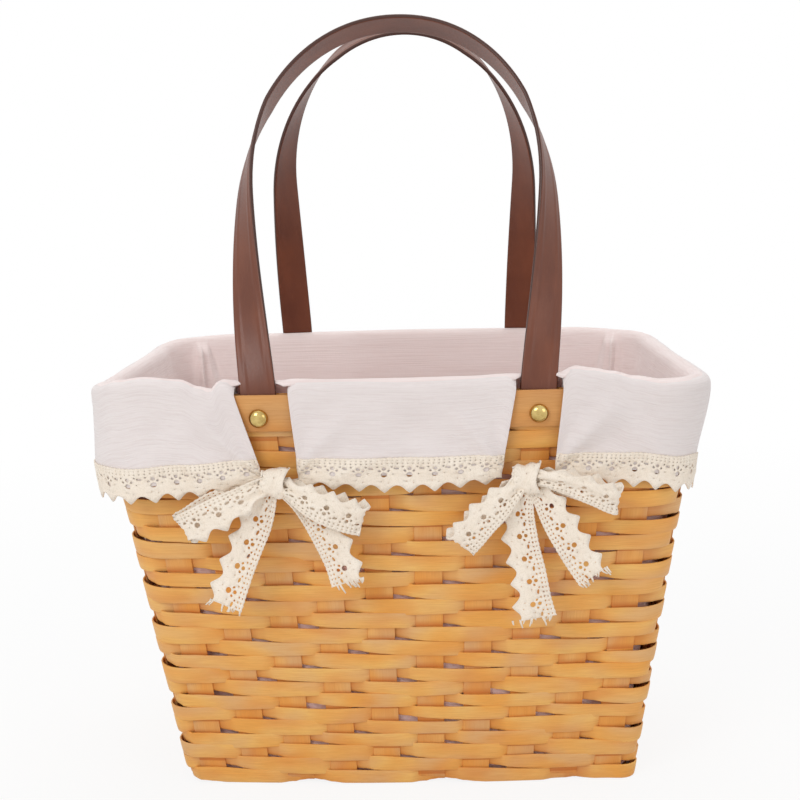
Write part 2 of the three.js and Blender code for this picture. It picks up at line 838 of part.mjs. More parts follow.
function bowTail({ way, spread, fall }, layer) {
  const sections = [];
  for (let i = 0; i <= tailSteps; i += 1) {
    const t = i / tailSteps;
    const sway = tailWave * Math.sin(Math.PI * t) + layer * tailLayer * (1 - t);
    const centre = new THREE.Vector3(way * (tailStart + spread * t), sway, -tailStart - fall * t);
    const width = mix(tailNeck, ribbonWidth, Math.min(neckShare * t, 1));
    sections.push(ribbonSection(centre, new THREE.Vector3(1, 0, 0), new THREE.Vector3(0, 1, 0), width));
  }
  return toManifold(sweptStrip(sections));
}

// The ribbon's short run from the knot to the lace beside the slit
function tieRoot(way) {
  const inward = new THREE.Vector3(0, 1, 0);
  const start = ribbonSection(new THREE.Vector3(), upward, inward, tailNeck);
  const lapped = [0, tieLap].map((further) => ribbonSection(
    new THREE.Vector3(way * (slitHalf + further), knotForward - clearance - ribbonThickness / 2, 0),
    upward,
    inward,
    tieWidth,
  ));
  return toManifold(sweptStrip([start, ...lapped]));
}

function bows() {
  rivetPlaces.forEach(({ side, label, along }) => {
    const way = Math.sign(along);
    const { loops, tails } = way < 0 ? leftBow : rightBow;
    const ball = new THREE.SphereGeometry(0.5, knotSides, knotRings);
    const knot = ball.scale(knotWidth, knotDepth, knotHeight);
    const solid = wasm.Manifold.union([
      toManifold(knot),
      ...loops.map(bowLoop),
      ...tails.map((tail, i) => bowTail(tail, 2 * i - 1)),
      tieRoot(-1),
      tieRoot(1),
    ]);
    const out = hemOut + laceThickness / 2 + knotForward;
    const depth = wallPoint(side, slitHemInner, hemHeight, out).dot(side.outward);
    const spot = place(side, way * knotPlace, depth, wallHeight - knotBelowRim);
    const inward = side.outward.clone().negate();
    const turn = new THREE.Matrix4().makeBasis(side.tangent, inward, upward).setPosition(spot);
    add(`bow_${label}`, fromManifold(solid).applyMatrix4(turn), 'lace');
  });
}

crossStakes();
longStakes();
weavers();
rimBands();
rivets();
handles();
linerBag();
Object.entries(routes).forEach(([name, route]) => {
  linerSkirt(name, route);
  laceHem(name, route);
});
bows();

// Stand the basket with the middle of its bounding box over the origin
const bounds = new THREE.Box3().setFromObject(basket, true);
const middle = bounds.getCenter(new THREE.Vector3());
basket.position.set(-middle.x, -middle.y, -bounds.min.z);

export default basket;
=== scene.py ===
import math
import random
from bisect import bisect_right

import bmesh
import bpy
from mathutils import Matrix, Vector, noise


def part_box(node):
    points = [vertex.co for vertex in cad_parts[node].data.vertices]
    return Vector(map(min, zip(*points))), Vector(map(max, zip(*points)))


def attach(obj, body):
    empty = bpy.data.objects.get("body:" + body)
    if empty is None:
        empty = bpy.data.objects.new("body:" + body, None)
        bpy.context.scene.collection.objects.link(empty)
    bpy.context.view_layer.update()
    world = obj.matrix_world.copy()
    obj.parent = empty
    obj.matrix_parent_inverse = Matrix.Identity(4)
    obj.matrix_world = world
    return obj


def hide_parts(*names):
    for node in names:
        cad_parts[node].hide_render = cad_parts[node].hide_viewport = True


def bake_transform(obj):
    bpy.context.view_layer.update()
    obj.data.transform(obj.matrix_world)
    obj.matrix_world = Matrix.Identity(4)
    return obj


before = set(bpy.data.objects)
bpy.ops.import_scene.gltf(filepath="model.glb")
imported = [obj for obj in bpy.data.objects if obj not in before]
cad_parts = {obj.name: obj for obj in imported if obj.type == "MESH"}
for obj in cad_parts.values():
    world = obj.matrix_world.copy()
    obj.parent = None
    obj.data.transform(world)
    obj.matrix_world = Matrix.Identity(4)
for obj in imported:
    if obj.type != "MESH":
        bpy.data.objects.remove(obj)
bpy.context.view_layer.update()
print("frame loaded")

mm = 0.001
weld = 0.02 * mm
body = "basket_body"

# camera, at the photograph's angle
view = {"x": 26.6, "y": -812.0, "z": 335, "yaw": -2.06, "pitch": 9.8, "roll": 1.5, "focal": 1479,
        "picture": 800, "sensor": 36, "nearest": 0.01}


def makeCamera():
    yaw, pitch, roll = (math.radians(view[key]) for key in ("yaw", "pitch", "roll"))
    ahead = Vector((math.sin(yaw) * math.cos(pitch), math.cos(yaw) * math.cos(pitch), -math.sin(pitch)))
    level = Vector((math.cos(yaw), -math.sin(yaw), 0))
    down = ahead.cross(level)
    across = level * math.cos(roll) + down * math.sin(roll)
    up = level * math.sin(roll) - down * math.cos(roll)
    data = bpy.data.cameras.new("camera")
    data.sensor_width = view["sensor"]
    data.lens = view["sensor"] * view["focal"] / view["picture"]
    data.clip_start = view["nearest"]
    camera = bpy.data.objects.new("camera", data)
    bpy.context.scene.collection.objects.link(camera)
    turn = Matrix((across, up, -ahead)).transposed().to_4x4()
    camera.matrix_world = Matrix.Translation(Vector((view["x"], view["y"], view["z"])) * mm) @ turn
    bpy.context.scene.camera = camera


makeCamera()
bpy.context.scene.view_settings.view_transform = "Standard"


# shader maths: a socket that can be added, multiplied and so on
class Wire:
    def __init__(self, finish, socket):
        self.finish = finish
        self.socket = socket

    def maths(self, operation, first, second=0.0):
        return self.finish.maths(operation, first, second)

    def __add__(self, other):
        return self.maths("ADD", self, other)

    def __sub__(self, other):
        return self.maths("SUBTRACT", self, other)

    def __rsub__(self, other):
        return self.maths("SUBTRACT", other, self)

    def __mul__(self, other):
        return self.maths("MULTIPLY", self, other)

    __radd__ = __add__
    __rmul__ = __mul__


class Finish:  # the nodes of a material, or of the world
    def __init__(self, owner, shader="Principled BSDF"):
        owner.use_nodes = True
        self.owner = owner
        self.tree = owner.node_tree
        self.shader = self.tree.nodes[shader]

    def maths(self, operation, first, second=0.0):
        return self.node("ShaderNodeMath", {"operation": operation}, {0: first, 1: second})

    def feed(self, socket, value):
        if isinstance(value, Wire):
            self.tree.links.new(value.socket, socket)
        else:
            socket.default_value = value

    def node(self, kind, settings=None, values=None, output=0):
        made = self.tree.nodes.new(kind)
        for key, value in (settings or {}).items():
            if key == "stops":
                self.setStops(made.color_ramp, value)
            else:
                setattr(made, key, value)
        for key, value in (values or {}).items():
            self.feed(made.inputs[key], value)
        return Wire(self, made.outputs[output])

    def setStops(self, ramp, stops):
        while len(ramp.elements) < len(stops):
            ramp.elements.new(0.5)
        for element, (position, colour) in zip(ramp.elements, stops):
            element.position = position
            element.color = colour

    def mix(self, factor, first, second):  # 6, 7 and 2 are the node's colour sockets
        return self.node("ShaderNodeMix", {"data_type": "RGBA"}, {0: factor, 6: first, 7: second}, 2)

    def uv(self):
        return self.node("ShaderNodeUVMap", {"uv_map": "along"})

    def stretched(self, along, across, shift=(0, 0, 0)):
        values = {"Vector": self.uv(), "Location": shift, "Scale": (along, across, 1)}
        return self.node("ShaderNodeMapping", {}, values)

    def grain(self, along, across, detail, roughness=0.55, shift=(0, 0, 0)):
        return self.noise(self.stretched(along, across, shift), 1.0, detail, roughness)

    def noise(self, vector, scale, detail, roughness=0.55):
        values = {"Vector": vector, "Scale": scale, "Detail": detail, "Roughness": roughness}
        return self.node("ShaderNodeTexNoise", {}, values)

    def attribute(self, name):
        return self.node("ShaderNodeAttribute", {"attribute_name": name}, {}, 2)

    def range(self, value, low, high, newLow=0.0, newHigh=1.0):
        return self.node("ShaderNodeMapRange", {}, {0: value, 1: low, 2: high, 3: newLow, 4: newHigh})

    def bump(self, height, strength, distance):
        values = {"Height": height, "Strength": strength, "Distance": distance}
        return self.node("ShaderNodeBump", {}, values)

    def seesBackdrop(self):  # 1 for the rays that look at the white backdrop
        seen = self.node("ShaderNodeLightPath", {}, {}, "Is Camera Ray")
        for ray in ("Is Glossy Ray", "Is Transmission Ray"):
            seen = self.maths("MAXIMUM", seen, self.node("ShaderNodeLightPath", {}, {}, ray))
        return seen

    def shade(self, **sockets):
        for key, value in sockets.items():
            self.feed(self.shader.inputs[key.replace("_", " ")], value)
        return self.owner


def newFinish(name):
    return Finish(bpy.data.materials.new(name))


def paint(red, green, blue):  # a colour as the photograph shows it, turned into the renderer's linear values
    return tuple(((value / 255 + 0.055) / 1.055) ** 2.4 for value in (red, green, blue)) + (1.0,)


# floor, backdrop and light
studio = {"floor": 4.0, "floorDrop": 0.2, "floorGrey": (0.86, 0.86, 0.86, 1), "white": (1, 1, 1, 1),
          "ambient": 0.65, "glowNear": 0.87, "near": 0.25, "far": 0.9, "aim": (0, 0, 0.15)}
lamps = {"key": {"place": (-0.9, -1.5, 1.3), "size": 0.9, "power": 11.0},
         "fill": {"place": (1.3, -1.2, 0.7), "size": 0.8, "power": 2.2},
         "top": {"place": (0.1, 0.5, 1.7), "size": 1.0, "power": 6.6}}


def makeFloor():
    bm = bmesh.new()
    bmesh.ops.create_grid(bm, x_segments=1, y_segments=1, size=studio["floor"])
    bmesh.ops.translate(bm, vec=(0, 0, -studio["floorDrop"] * mm), verts=bm.verts)
    mesh = bpy.data.meshes.new("floor")
    bm.to_mesh(mesh)
    bm.free()
    floor = bpy.data.objects.new("floor", mesh)
    bpy.context.scene.collection.objects.link(floor)
    finish = newFinish("pale_floor")
    finish.shade(Base_Color=studio["floorGrey"], Roughness=0.9, Specular_IOR_Level=0.1)
    mesh.materials.append(finish.owner)
    glow = finish.node("ShaderNodeEmission", {}, {"Color": studio["white"], "Strength": 1.0})
    where = finish.node("ShaderNodeTexCoord", {}, {}, "Object")
    away = finish.node("ShaderNodeVectorMath", {"operation": "LENGTH"}, {0: where}, 1)
    fade = finish.range(away, studio["near"], studio["far"], studio["glowNear"], 1.0)
    plain = Wire(finish, finish.shader.outputs[0])
    surface = finish.node("ShaderNodeMixShader", {}, {0: finish.seesBackdrop() * fade, 1: plain, 2: glow})
    output = next(node for node in finish.tree.nodes if node.type == "OUTPUT_MATERIAL")
    finish.feed(output.inputs["Surface"], surface)


def makeSky():
    world = bpy.data.worlds.new("studio")
    bpy.context.scene.world = world
    sky = Finish(world, "Background")
    sky.shade(Color=studio["white"], Strength=sky.range(sky.seesBackdrop(), 0, 1, studio["ambient"], 1))


def makeLamp(name, place, size, power):
    data = bpy.data.lights.new(name, "AREA")
    data.size = size
    data.energy = power
    lamp = bpy.data.objects.new(name, data)
    aim = Vector(studio["aim"]) - Vector(place)
    lamp.matrix_world = Matrix.Translation(place) @ aim.to_track_quat("-Z", "Y").to_matrix().to_4x4()
    bpy.context.scene.collection.objects.link(lamp)


makeFloor()
makeSky()
for name, facts in lamps.items():
    makeLamp(name, **facts)
print("camera, floor and light ready")


# finishes
# tones of a wood; the sixth is the colour of painted shade, laid where a splint lies deep
toneNames = ("dark", "middle", "bright", "streak", "pore", "recess", "pale", "warm")


def woodTones(*colours):
    return {name: paint(*colour) for name, colour in zip(toneNames, colours)}


def woodFinish(name, tones, grainScale, dullness, lines, rowShade=None):
    finish = newFinish(name)
    broad = finish.grain(22, 60, 2.0)
    patchy = finish.grain(30, 50, 1.0, shift=(7.3, 2.1, 0))
    streak = finish.grain(60, 1500, 3.0)
    grain = finish.grain(grainScale * 0.035, grainScale, 5.0, 0.65)
    fleck = finish.grain(260, 5200, 2.0)
    stops = [(0.34, tones["dark"]), (0.5, tones["middle"]), (0.64, tones["bright"])]
    colour = finish.node("ShaderNodeValToRGB", {"stops": stops}, {0: broad})
    colour = finish.mix(finish.range(patchy, 0.5, 0.68, 0.0, 0.75), colour, tones["pale"])
    colour = finish.mix(finish.range(patchy, 0.5, 0.34, 0.0, 0.6), colour, tones["warm"])
    colour = finish.mix(finish.range(streak, 0.35, 0.7, 0.0, lines), colour, tones["streak"])
    colour = finish.mix(finish.range(grain, 0.45, 0.72, 0.0, lines * 0.8), colour, tones["pore"])
    colour = finish.mix(finish.range(fleck, 0.66, 0.72, 0.0, lines * 0.7), colour, tones["pore"])
    # painted shade: darker where the splints dive behind the uprights, and towards the hoops' edges
    colour = finish.mix(finish.attribute("recess") * 0.75, colour, tones["recess"])
    if rowShade:  # painted shade: uprights darken just above each row of weaving that crosses below an exposed patch
        down = finish.node("ShaderNodeSeparateXYZ", {}, {0: finish.uv()})
        step = finish.maths("FRACT", (down - rowShade[0]) * (1 / rowShade[1]))
        colour = finish.mix(finish.range(step, 0.55, 0.9, 0.0, 0.7), colour, tones["recess"])
    rough = finish.range(grain, 0.2, 0.8, dullness - 0.06, dullness + 0.1)
    normal = finish.bump(grain * 0.6 + streak * 0.4, 0.3, 0.12 * mm)
    return finish.shade(Base_Color=colour, Roughness=rough, Normal=normal, Specular_IOR_Level=0.35)


weaverTones = woodTones((230, 160, 88), (240, 182, 104), (244, 194, 112), (216, 150, 74),
                        (196, 130, 60), (204, 118, 48), (224, 180, 130), (242, 166, 66))
stakeTones = woodTones((222, 150, 80), (230, 165, 90), (236, 178, 104), (208, 138, 68),
                       (188, 118, 54), (196, 108, 42), (218, 172, 122), (236, 156, 60))
rimTones = woodTones((214, 152, 88), (218, 158, 92), (226, 169, 104), (196, 132, 70),
                     (176, 112, 58), (182, 104, 46), (210, 160, 106), (226, 152, 74))


def strapFinish():
    finish = newFinish("glazed_strap")
    cloudy = finish.grain(30, 60, 3.0)
    pebble = finish.grain(900, 900, 4.0)
    scuff = finish.grain(120, 1400, 2.0)
    colour = finish.mix(finish.range(cloudy, 0.3, 0.7), paint(99, 50, 31), paint(119, 64, 40))
    colour = finish.mix(finish.range(scuff, 0.6, 0.8, 0.0, 0.3), colour, paint(140, 88, 64))
    colour = finish.mix(finish.attribute("edge"), colour, paint(66, 32, 20))
    rough = finish.range(pebble, 0.3, 0.7, 0.34, 0.46)
    normal = finish.bump(pebble + scuff * 0.6, 0.25, 0.06 * mm)
    return finish.shade(Base_Color=colour, Roughness=rough, Normal=normal, Specular_IOR_Level=0.45,
                        Coat_Weight=0.04, Coat_Roughness=0.2)


def brassFinish():
    finish = newFinish("polished_brass")
    where = finish.node("ShaderNodeTexCoord", {}, {}, "Object")
    tarnish = finish.noise(where, 220, 3.0)
    colour = finish.mix(finish.range(tarnish, 0.4, 0.75), paint(214, 188, 122), paint(176, 146, 84))
    rough = finish.range(tarnish, 0.3, 0.7, 0.08, 0.22)
    return finish.shade(Base_Color=colour, Roughness=rough, Metallic=1.0)


def clothFinish(name, light, soft, slub, through):
    finish = newFinish(name)
    weft = finish.grain(45, 1500, 2.0)
    fineWeft = finish.grain(200, 2600, 2.0)
    warp = finish.grain(2600, 260, 2.0)
    cloudy = finish.grain(14, 14, 2.0)
    colour = finish.mix(finish.range(cloudy, 0.3, 0.7), paint(*soft), paint(*light))
    colour = finish.mix(finish.range(weft, 0.46, 0.68, 0.0, 0.5), colour, paint(*slub))
    colour = finish.mix(finish.range(fineWeft, 0.5, 0.7, 0.0, 0.3), colour, paint(*slub))
    height = finish.range(weft, 0.4, 0.7) * 0.7 + fineWeft * 0.5 + warp * 0.4
    normal = finish.bump(height, 0.55, 0.22 * mm)
    rough = finish.range(weft, 0.3, 0.7, 0.85, 0.95)
    return finish.shade(Base_Color=colour, Roughness=rough, Normal=normal, Specular_IOR_Level=0.15,
                        Sheen_Weight=0.15, Subsurface_Weight=through, Subsurface_Scale=0.6 * mm,
                        Subsurface_Radius=(1.0, 1.0, 1.0))


def laceFinish():
    finish = newFinish("cotton_lace")
    values = {"Vector": finish.stretched(1500, 1500), "Scale": 1.0}
    thread = finish.node("ShaderNodeTexVoronoi", {"feature": "F1"}, values)
    twist = finish.grain(700, 2200, 3.0)
    cloudy = finish.grain(90, 90, 3.0)
    colour = finish.mix(finish.range(cloudy, 0.3, 0.7), paint(252, 241, 227), paint(246, 232, 215))
    colour = finish.mix(finish.range(thread, 0.45, 0.8, 0.0, 0.35), colour, paint(226, 213, 192))
    normal = finish.bump(thread * -0.7 + twist * 0.5, 0.5, 0.3 * mm)
    rough = finish.range(twist, 0.3, 0.7, 0.8, 0.95)
    return finish.shade(Base_Color=colour, Roughness=rough, Normal=normal, Specular_IOR_Level=0.15,
                        Sheen_Weight=0.1)


weaverWood = woodFinish("weaver_splint_wood", weaverTones, 3600, 0.5, 0.38)
rimWood = woodFinish("rim_hoop_wood", rimTones, 3000, 0.46, 0.4)
strapLeather = strapFinish()
brass = brassFinish()
cotton = clothFinish("slub_cotton", (238, 230, 228), (233, 224, 222), (224, 212, 210), 0.3)
# the same cotton again: the inside face pinker, as painted bounce light from the wood
cottonInsidePaintedBounce = clothFinish("slub_cotton_inside_painted_bounce", (245, 231, 228), (241, 226, 223), (231, 212, 208), 0.35)
# the same cotton again: the face behind the weaving brighter and pinker, as painted light shining through the
# cloth
cottonBehindPaintedBacklight = clothFinish("slub_cotton_behind_painted_backlight", (254, 224, 218), (252, 218, 212), (246, 208, 202), 0.5)
laceCotton = laceFinish()
print("finishes ready")

# the wall's shape, in millimetres round the wall's own centre
wall = {"height": 216, "baseLength": 117.5, "baseDepth": 66, "baseCorner": 6, "rimLength": 154.5,
        "rimDepth": 95.5, "rimCorner": 30, "longBow": 4, "shortBow": 0.6, "cornerFrom": 0.82,
        "drawnIn": (5.5, 9)}
# how much of that the wall is drawn in, by the distance from its middle along it and from front to back
drawnAlong = [(90, 0), (145, 1)]
drawnDeep = [(-85, 0.3), (65, 1)]
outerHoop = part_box("rim_band_outer")
wallMiddle = (outerHoop[0][1] + outerHoop[1][1]) / 2
front, right, back, left = range(4)
# each side's direction along the wall, its direction outwards and its number of uprights
sides = [((1, 0), (0, -1), 10), ((0, 1), (1, 0), 6), ((-1, 0), (0, 1), 10), ((0, -1), (-1, 0), 6)]
uprights = [(side, index) for side in range(4) for index in range(sides[side][2])]
# where the straps are held: name, side and which way from the side's middle
strapEnds = [(f"{end}_{'left' if way * sides[side][0][0] < 0 else 'right'}", side, way)
             for side, end in ((front, "front"), (back, "back")) for way in (-1, 1)]


def mixed(a, b, t):
    return a + (b - a) * t


def smooth(t):
    t = min(max(t, 0.0), 1.0)
    return t * t * (3 - 2 * t)


def plain(t):
    return t


def between(stops, at, ease=smooth):
    for (a, x), (b, y) in zip(stops, stops[1:]):
        if at <= b:
            return mixed(x, y, ease((at - a) / (b - a)))
    return stops[-1][1]


def wallSize(side, z):
    t = z / wall["height"]
    length = mixed(wall["baseLength"], wall["rimLength"], t)
    depth = mixed(wall["baseDepth"], wall["rimDepth"], t)
    corner = mixed(wall["baseCorner"], wall["rimCorner"], t)
    half, reach = (length, depth) if side % 2 == 0 else (depth, length)
    return half - corner, reach, corner


def directions(side):
    return [Vector((*way, 0)) for way in sides[side][:2]]


def place(side, along, out, z):
    tangent, outward = directions(side)
    return tangent * along + outward * out + Vector((0, 0, z))


def bowOut(side, along, straight):
    return (wall["longBow"] if side % 2 == 0 else wall["shortBow"]) * (1 - (along / straight) ** 2)


def wallPoint(side, along, z, out):
    straight, reach = wallSize(side, z)[:2]
    return place(side, along, reach + bowOut(side, along, straight) + out, z)


def cornerPoint(side, angle, z, out):
    straight, reach, corner = wallSize(side, z)
    radius = corner + out
    return place(side, straight + radius * math.sin(angle), reach - corner + radius * math.cos(angle), z)


def toScene(point):  # the two ends draw in a little towards the back of the rim
    drawn = wall["drawnIn"][point.x > 0] * between(drawnAlong, abs(point.x)) * between(drawnDeep, point.y)
    drawn *= min(max(point.z / wall["height"], 0), 1)
    return Vector(((point.x - math.copysign(drawn, point.x)) * mm, point.y * mm + wallMiddle, point.z * mm))


# a flat grid whose points are laid on a surface, which gives each one's place, run, width and tint
def surfaceMesh(columns, rows, surface, closed=False, tints=None):
    bm = bmesh.new()
    bmesh.ops.create_grid(bm, x_segments=columns, y_segments=rows, size=0.5)
    uv = bm.loops.layers.uv.new("along")
    tint = bm.verts.layers.float.new(tints) if tints else None
    spots = {vert: surface(vert.co.x + 0.5, vert.co.y + 0.5) for vert in bm.verts}
    for face in bm.faces:
        for loop in face.loops:
            loop[uv].uv = (spots[loop.vert][1] * mm, spots[loop.vert][2] * mm)
    for vert, spot in spots.items():
        vert.co = toScene(spot[0])
        if tint is not None:
            vert[tint] = spot[3]
    if closed:
        bmesh.ops.remove_doubles(bm, verts=bm.verts, dist=weld)
    return bm


def makePiece(name, bm, finish, thickness=0, edge=0, ride=body, reverse=None):
    for face in bm.faces:
        face.smooth = True
    mesh = bpy.data.meshes.new(name)
    bm.to_mesh(mesh)
    bm.free()
    piece = bpy.data.objects.new(name, mesh)
    bpy.context.scene.collection.objects.link(piece)
    mesh.materials.append(finish)
    if thickness:
        solid = piece.modifiers.new("thickness", "SOLIDIFY")
        solid.thickness = thickness * mm
        solid.offset = 0
        if reverse:  # the other face of the sheet has its own finish
            mesh.materials.append(reverse)
            solid.material_offset = 1
            solid.material_offset_rim = 1
    if edge:
        bevel = piece.modifiers.new("rounded_edge", "BEVEL")
        bevel.width = edge * mm
        bevel.segments = 2
        bevel.limit_method = "ANGLE"
        bevel.angle_limit = math.radians(50)
    if ride:
        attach(piece, ride)
    return piece


# uprights, each of which runs down one wall, under the base and up the other
stake = {"width": 14, "thickness": 1.0, "thinner": 0.9, "edge": 0.18, "longBase": 23.2, "longRim": 27.4,
         "shortBase": 21.6, "shortRim": 25.6, "belowTop": 1, "bend": 3.0, "low": 0.45, "cross": 1.65,
         "high": 2.85, "sharpness": 1.6, "grainShift": (40, 300), "shadeFrom": 100.91}
# woven splints: over two uprights and under one, climbing one row each round
weave = {"thickness": 0.85, "edge": 0.2, "rows": 26, "firstRow": 4.0, "pitch": 7.78, "sag": 3.1,
         "start": 26, "stepLength": 9, "pieces": 9, "pieceLength": 90, "firstLap": 2, "startBefore": 0.26,
         "lapPast": 0.22, "lapDepth": 0.8, "cornerBulge": 0.9, "wander": 0.9, "uneven": 1.5, "cup": 0.12,
         "tipped": 0.15, "lowest": 0.35, "crossingLength": 24.5, "perCrossing": 12, "outsideFrom": 0.6,
         "evenAtRim": 0.5, "noiseAlong": 0.42, "noiseUp": 0.29, "depthNoise": 0.25, "hiddenShade": (0.7, 0.3)}
stakeWood = woodFinish("upright_splint_wood", stakeTones, 3200, 0.55, 0.26,
                       (stake["shadeFrom"] * mm, weave["pitch"] * mm))


def stakeAlong(side, index, z):
    t = z / wall["height"]
    low, high = ("longBase", "longRim") if side % 2 == 0 else ("shortBase", "shortRim")
    return (index - (sides[side][2] - 1) / 2) * mixed(stake[low], stake[high], t)


def stepUp(within):  # how far the spiral has climbed to its next row, by the uprights passed in this round
    return smooth((within - (len(uprights) - 0.5 - weave["stepLength"])) / weave["stepLength"])


def stakeSurface(side, index, levelAt):  # levelAt gives the height along the base
    top = wall["height"] - stake["belowTop"]
    feet = [levelAt(end) + stake["bend"] for end in (0, 1)]
    rise = top - feet[0]
    halfBase = wallSize(side, feet[0])[1] - stake["bend"]
    turn = stake["bend"] * math.pi / 2
    total = 2 * (rise + turn + halfBase)

    def surface(u, v):
        across = (v - 0.5) * stake["width"]
        half, near, order, sign, foot = u * total, side, index, 1, feet[0]
        if half > total / 2:
            half, near, order = total - half, (side + 2) % 4, sides[side][2] - 1 - index
            sign, foot = -1, feet[1]
        if half < rise:
            z = top - half
            spot = wallPoint(near, stakeAlong(near, order, z) + sign * across, z, 0)
        else:
            along = stakeAlong(near, order, foot) + sign * across
            straight, reach = wallSize(near, foot)[:2]
            bow = bowOut(near, along, straight)
            if half < rise + turn:
                angle = (1 - (half - rise) / turn) * math.pi / 2
                out = reach + bow - stake["bend"] * (1 - math.sin(angle))
                z = foot - stake["bend"] * math.cos(angle)
            else:
                share = 1 - (half - rise - turn) / halfBase
                out = (halfBase + bow) * share
                z = levelAt(0.5 - sign * share / 2)
            spot = place(near, along, out, z)
        climb = stepUp((uprights.index((near, order)) - weave["start"]) % len(uprights))
        shift = stake["grainShift"][0] * index + stake["grainShift"][1] * side
        return spot, half + climb * weave["pitch"], across + shift, 0.0

    return surface


def makeStake(kind, side, index, columns, thickness, levelAt):
    bm = surfaceMesh(columns, 2, stakeSurface(side, index, levelAt), tints="recess")
    piece = makePiece(f"upright_{kind}_{index + 1}", bm, stakeWood, thickness, stake["edge"])
    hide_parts(f"{kind}_stake_{index + 1}")


def baseWave(first):  # a long upright's height as it passes over and under the cross ones
    count = sides[front][2]

    def levelAt(t):
        step = min(max(t * (count + 0.4) - 0.2, 0.5), count - 0.5) - 0.5
        lifted = max(-1.0, min(1.0, first * math.cos(math.pi * step) * stake["sharpness"]))
        return mixed(stake["low"], stake["high"], lifted / 2 + 0.5)

    return levelAt


def makeStakes():
    thickness = stake["thickness"]
    for i in range(sides[front][2]):
        makeStake("cross", front, i, 130, thickness, lambda t: stake["cross"])
    for i in range(sides[right][2]):
        makeStake("long", right, i, 220, thickness * stake["thinner"], baseWave(1 if i % 2 else -1))


makeStakes()
print("uprights ready")

# one repeat of a splint, in uprights from the one that it passes behind: where, depth, lower and upper edge
weaveRepeat = [(0.0, -1.1, -2.7, 4.9), (0.27, -1.0, -1.9, 5.0), (0.5, -0.1, -2.3, 4.75),
               (0.73, 1.0, -3.0, 4.5), (1.0, 1.15, -3.7, 4.45), (1.3, 1.25, -4.15, 4.3),
               (1.6, 1.3, -4.4, 4.1), (2.0, 1.2, -4.4, 3.9), (2.5, 1.1, -4.2, 3.85),
               (2.79, -1.0, -3.95, 3.95), (3.0, -1.1, -2.7, 4.9)]
# where in the noise the unevenness of each part is read
wobble = {"lower": 8.4, "upper": 5.7, "row": 3.1, "depth": 1.9}


def rowLevel(crossing):
    turns = math.floor((crossing + 0.5) / len(uprights))
    row = turns + stepUp(crossing - turns * len(uprights))
    sagging = math.sin(math.pi * min(row / (weave["rows"] - 2), 1))
    return weave["firstRow"] + weave["pitch"] * row - weave["sag"] * sagging


def alongWall(crossing, z, out):  # the place, and how far round a corner it is
    lower = math.floor(crossing)
    f = crossing - lower
    side, index = uprights[(weave["start"] + lower) % len(uprights)]
    nextSide, nextIndex = uprights[(weave["start"] + lower + 1) % len(uprights)]
    if side == nextSide:
        along = mixed(stakeAlong(side, index, z), stakeAlong(side, nextIndex, z), f)
        return wallPoint(side, along, z, out), 0.0
    straight, _, corner = wallSize(side, z)
    nextStraight = wallSize(nextSide, z)[0]
    before = straight - stakeAlong(side, index, z)
    arc = (corner + 1) * math.pi / 2
    after = nextStraight + stakeAlong(nextSide, nextIndex, z)
    run = f * (before + arc + after)
    if run < before:
        return wallPoint(side, stakeAlong(side, index, z) + run, z, out), f
    if run < before + arc:
        return cornerPoint(side, (run - before) / arc * math.pi / 2, z, out), f
    return wallPoint(nextSide, run - before - arc - nextStraight, z, out), f


def weaveShape(crossing):  # depth, lower edge and upper edge, eased between the stops
    phase = (crossing + 1) % 3
    for (a, *first), (b, *second) in zip(weaveRepeat, weaveRepeat[1:]):
        if phase <= b:
            share = smooth((phase - a) / (b - a))
            return [mixed(x, y, share) for x, y in zip(first, second)]
    return weaveRepeat[-1][1:]


def uneven(crossing, row, part):
    return noise.noise(Vector((crossing * weave["noiseAlong"], row * weave["noiseUp"], wobble[part])))


def weaverSurface(first, last):
    startAt = first - weave["startBefore"]
    endAt = last + (weave["startBefore"] if last == weaveEnd else weave["lapPast"])

    def surface(u, v):
        crossing = mixed(startAt, endAt, u)
        depth, lower, upper = weaveShape(crossing)
        row = rowLevel(crossing)
        outside = depth > weave["outsideFrom"]
        loose = weave["uneven"] * (1.25 - weave["evenAtRim"] * row / wall["height"])
        lower += loose * uneven(crossing, row, "lower")
        upper += loose * uneven(crossing, row, "upper") * (1 if outside else 0.5)
        z = row + mixed(lower, upper, v) + weave["wander"] * uneven(crossing * 0.6, row, "row")
        corner = alongWall(crossing, z, 0)[1]
        depth += weave["cornerBulge"] * math.sin(math.pi * corner) * (1.0 if outside else 0.4)
        if outside:
            depth += weave["depthNoise"] * uneven(crossing * 1.3, row, "depth")
        if first > 0:  # it starts behind the end of the one before
            depth -= weave["lapDepth"] * (1 - smooth((crossing - first - 0.2) / 0.4))
        across = 2 * v - 1
        out = depth + weave["tipped"] * across + weave["cup"] * (1 - across * across)
        spot = alongWall(crossing, max(z, weave["lowest"] + 0.3 * v), out)[0]
        emerging, entering = weave["hiddenShade"]
        # painted shade: darker the deeper the splint dives behind an upright, more where it comes out than
        # where it goes in
        recess = (emerging if (crossing + 1) % 3 < 1.5 else entering) * smooth((0.8 - depth) / 1.9)
        return spot, crossing * weave["crossingLength"], mixed(lower, upper, v), recess

    return surface


weaveEnd = weave["rows"] * len(uprights) - weave["stepLength"] - 1


def makeWeavers():
    first = 0
    for number in range(1, weave["pieces"] + 1):
        last = weaveEnd if number == weave["pieces"] else weave["firstLap"] + number * weave["pieceLength"]
        columns = (last - first) * weave["perCrossing"]
        bm = surfaceMesh(columns, 4, weaverSurface(first, last), tints="recess")
        name = f"woven_splint_{number}"
        piece = makePiece(name, bm, weaverWood, weave["thickness"], weave["edge"])
        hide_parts(f"weaver_{number}")
        first = last


makeWeavers()
print("weaving ready")

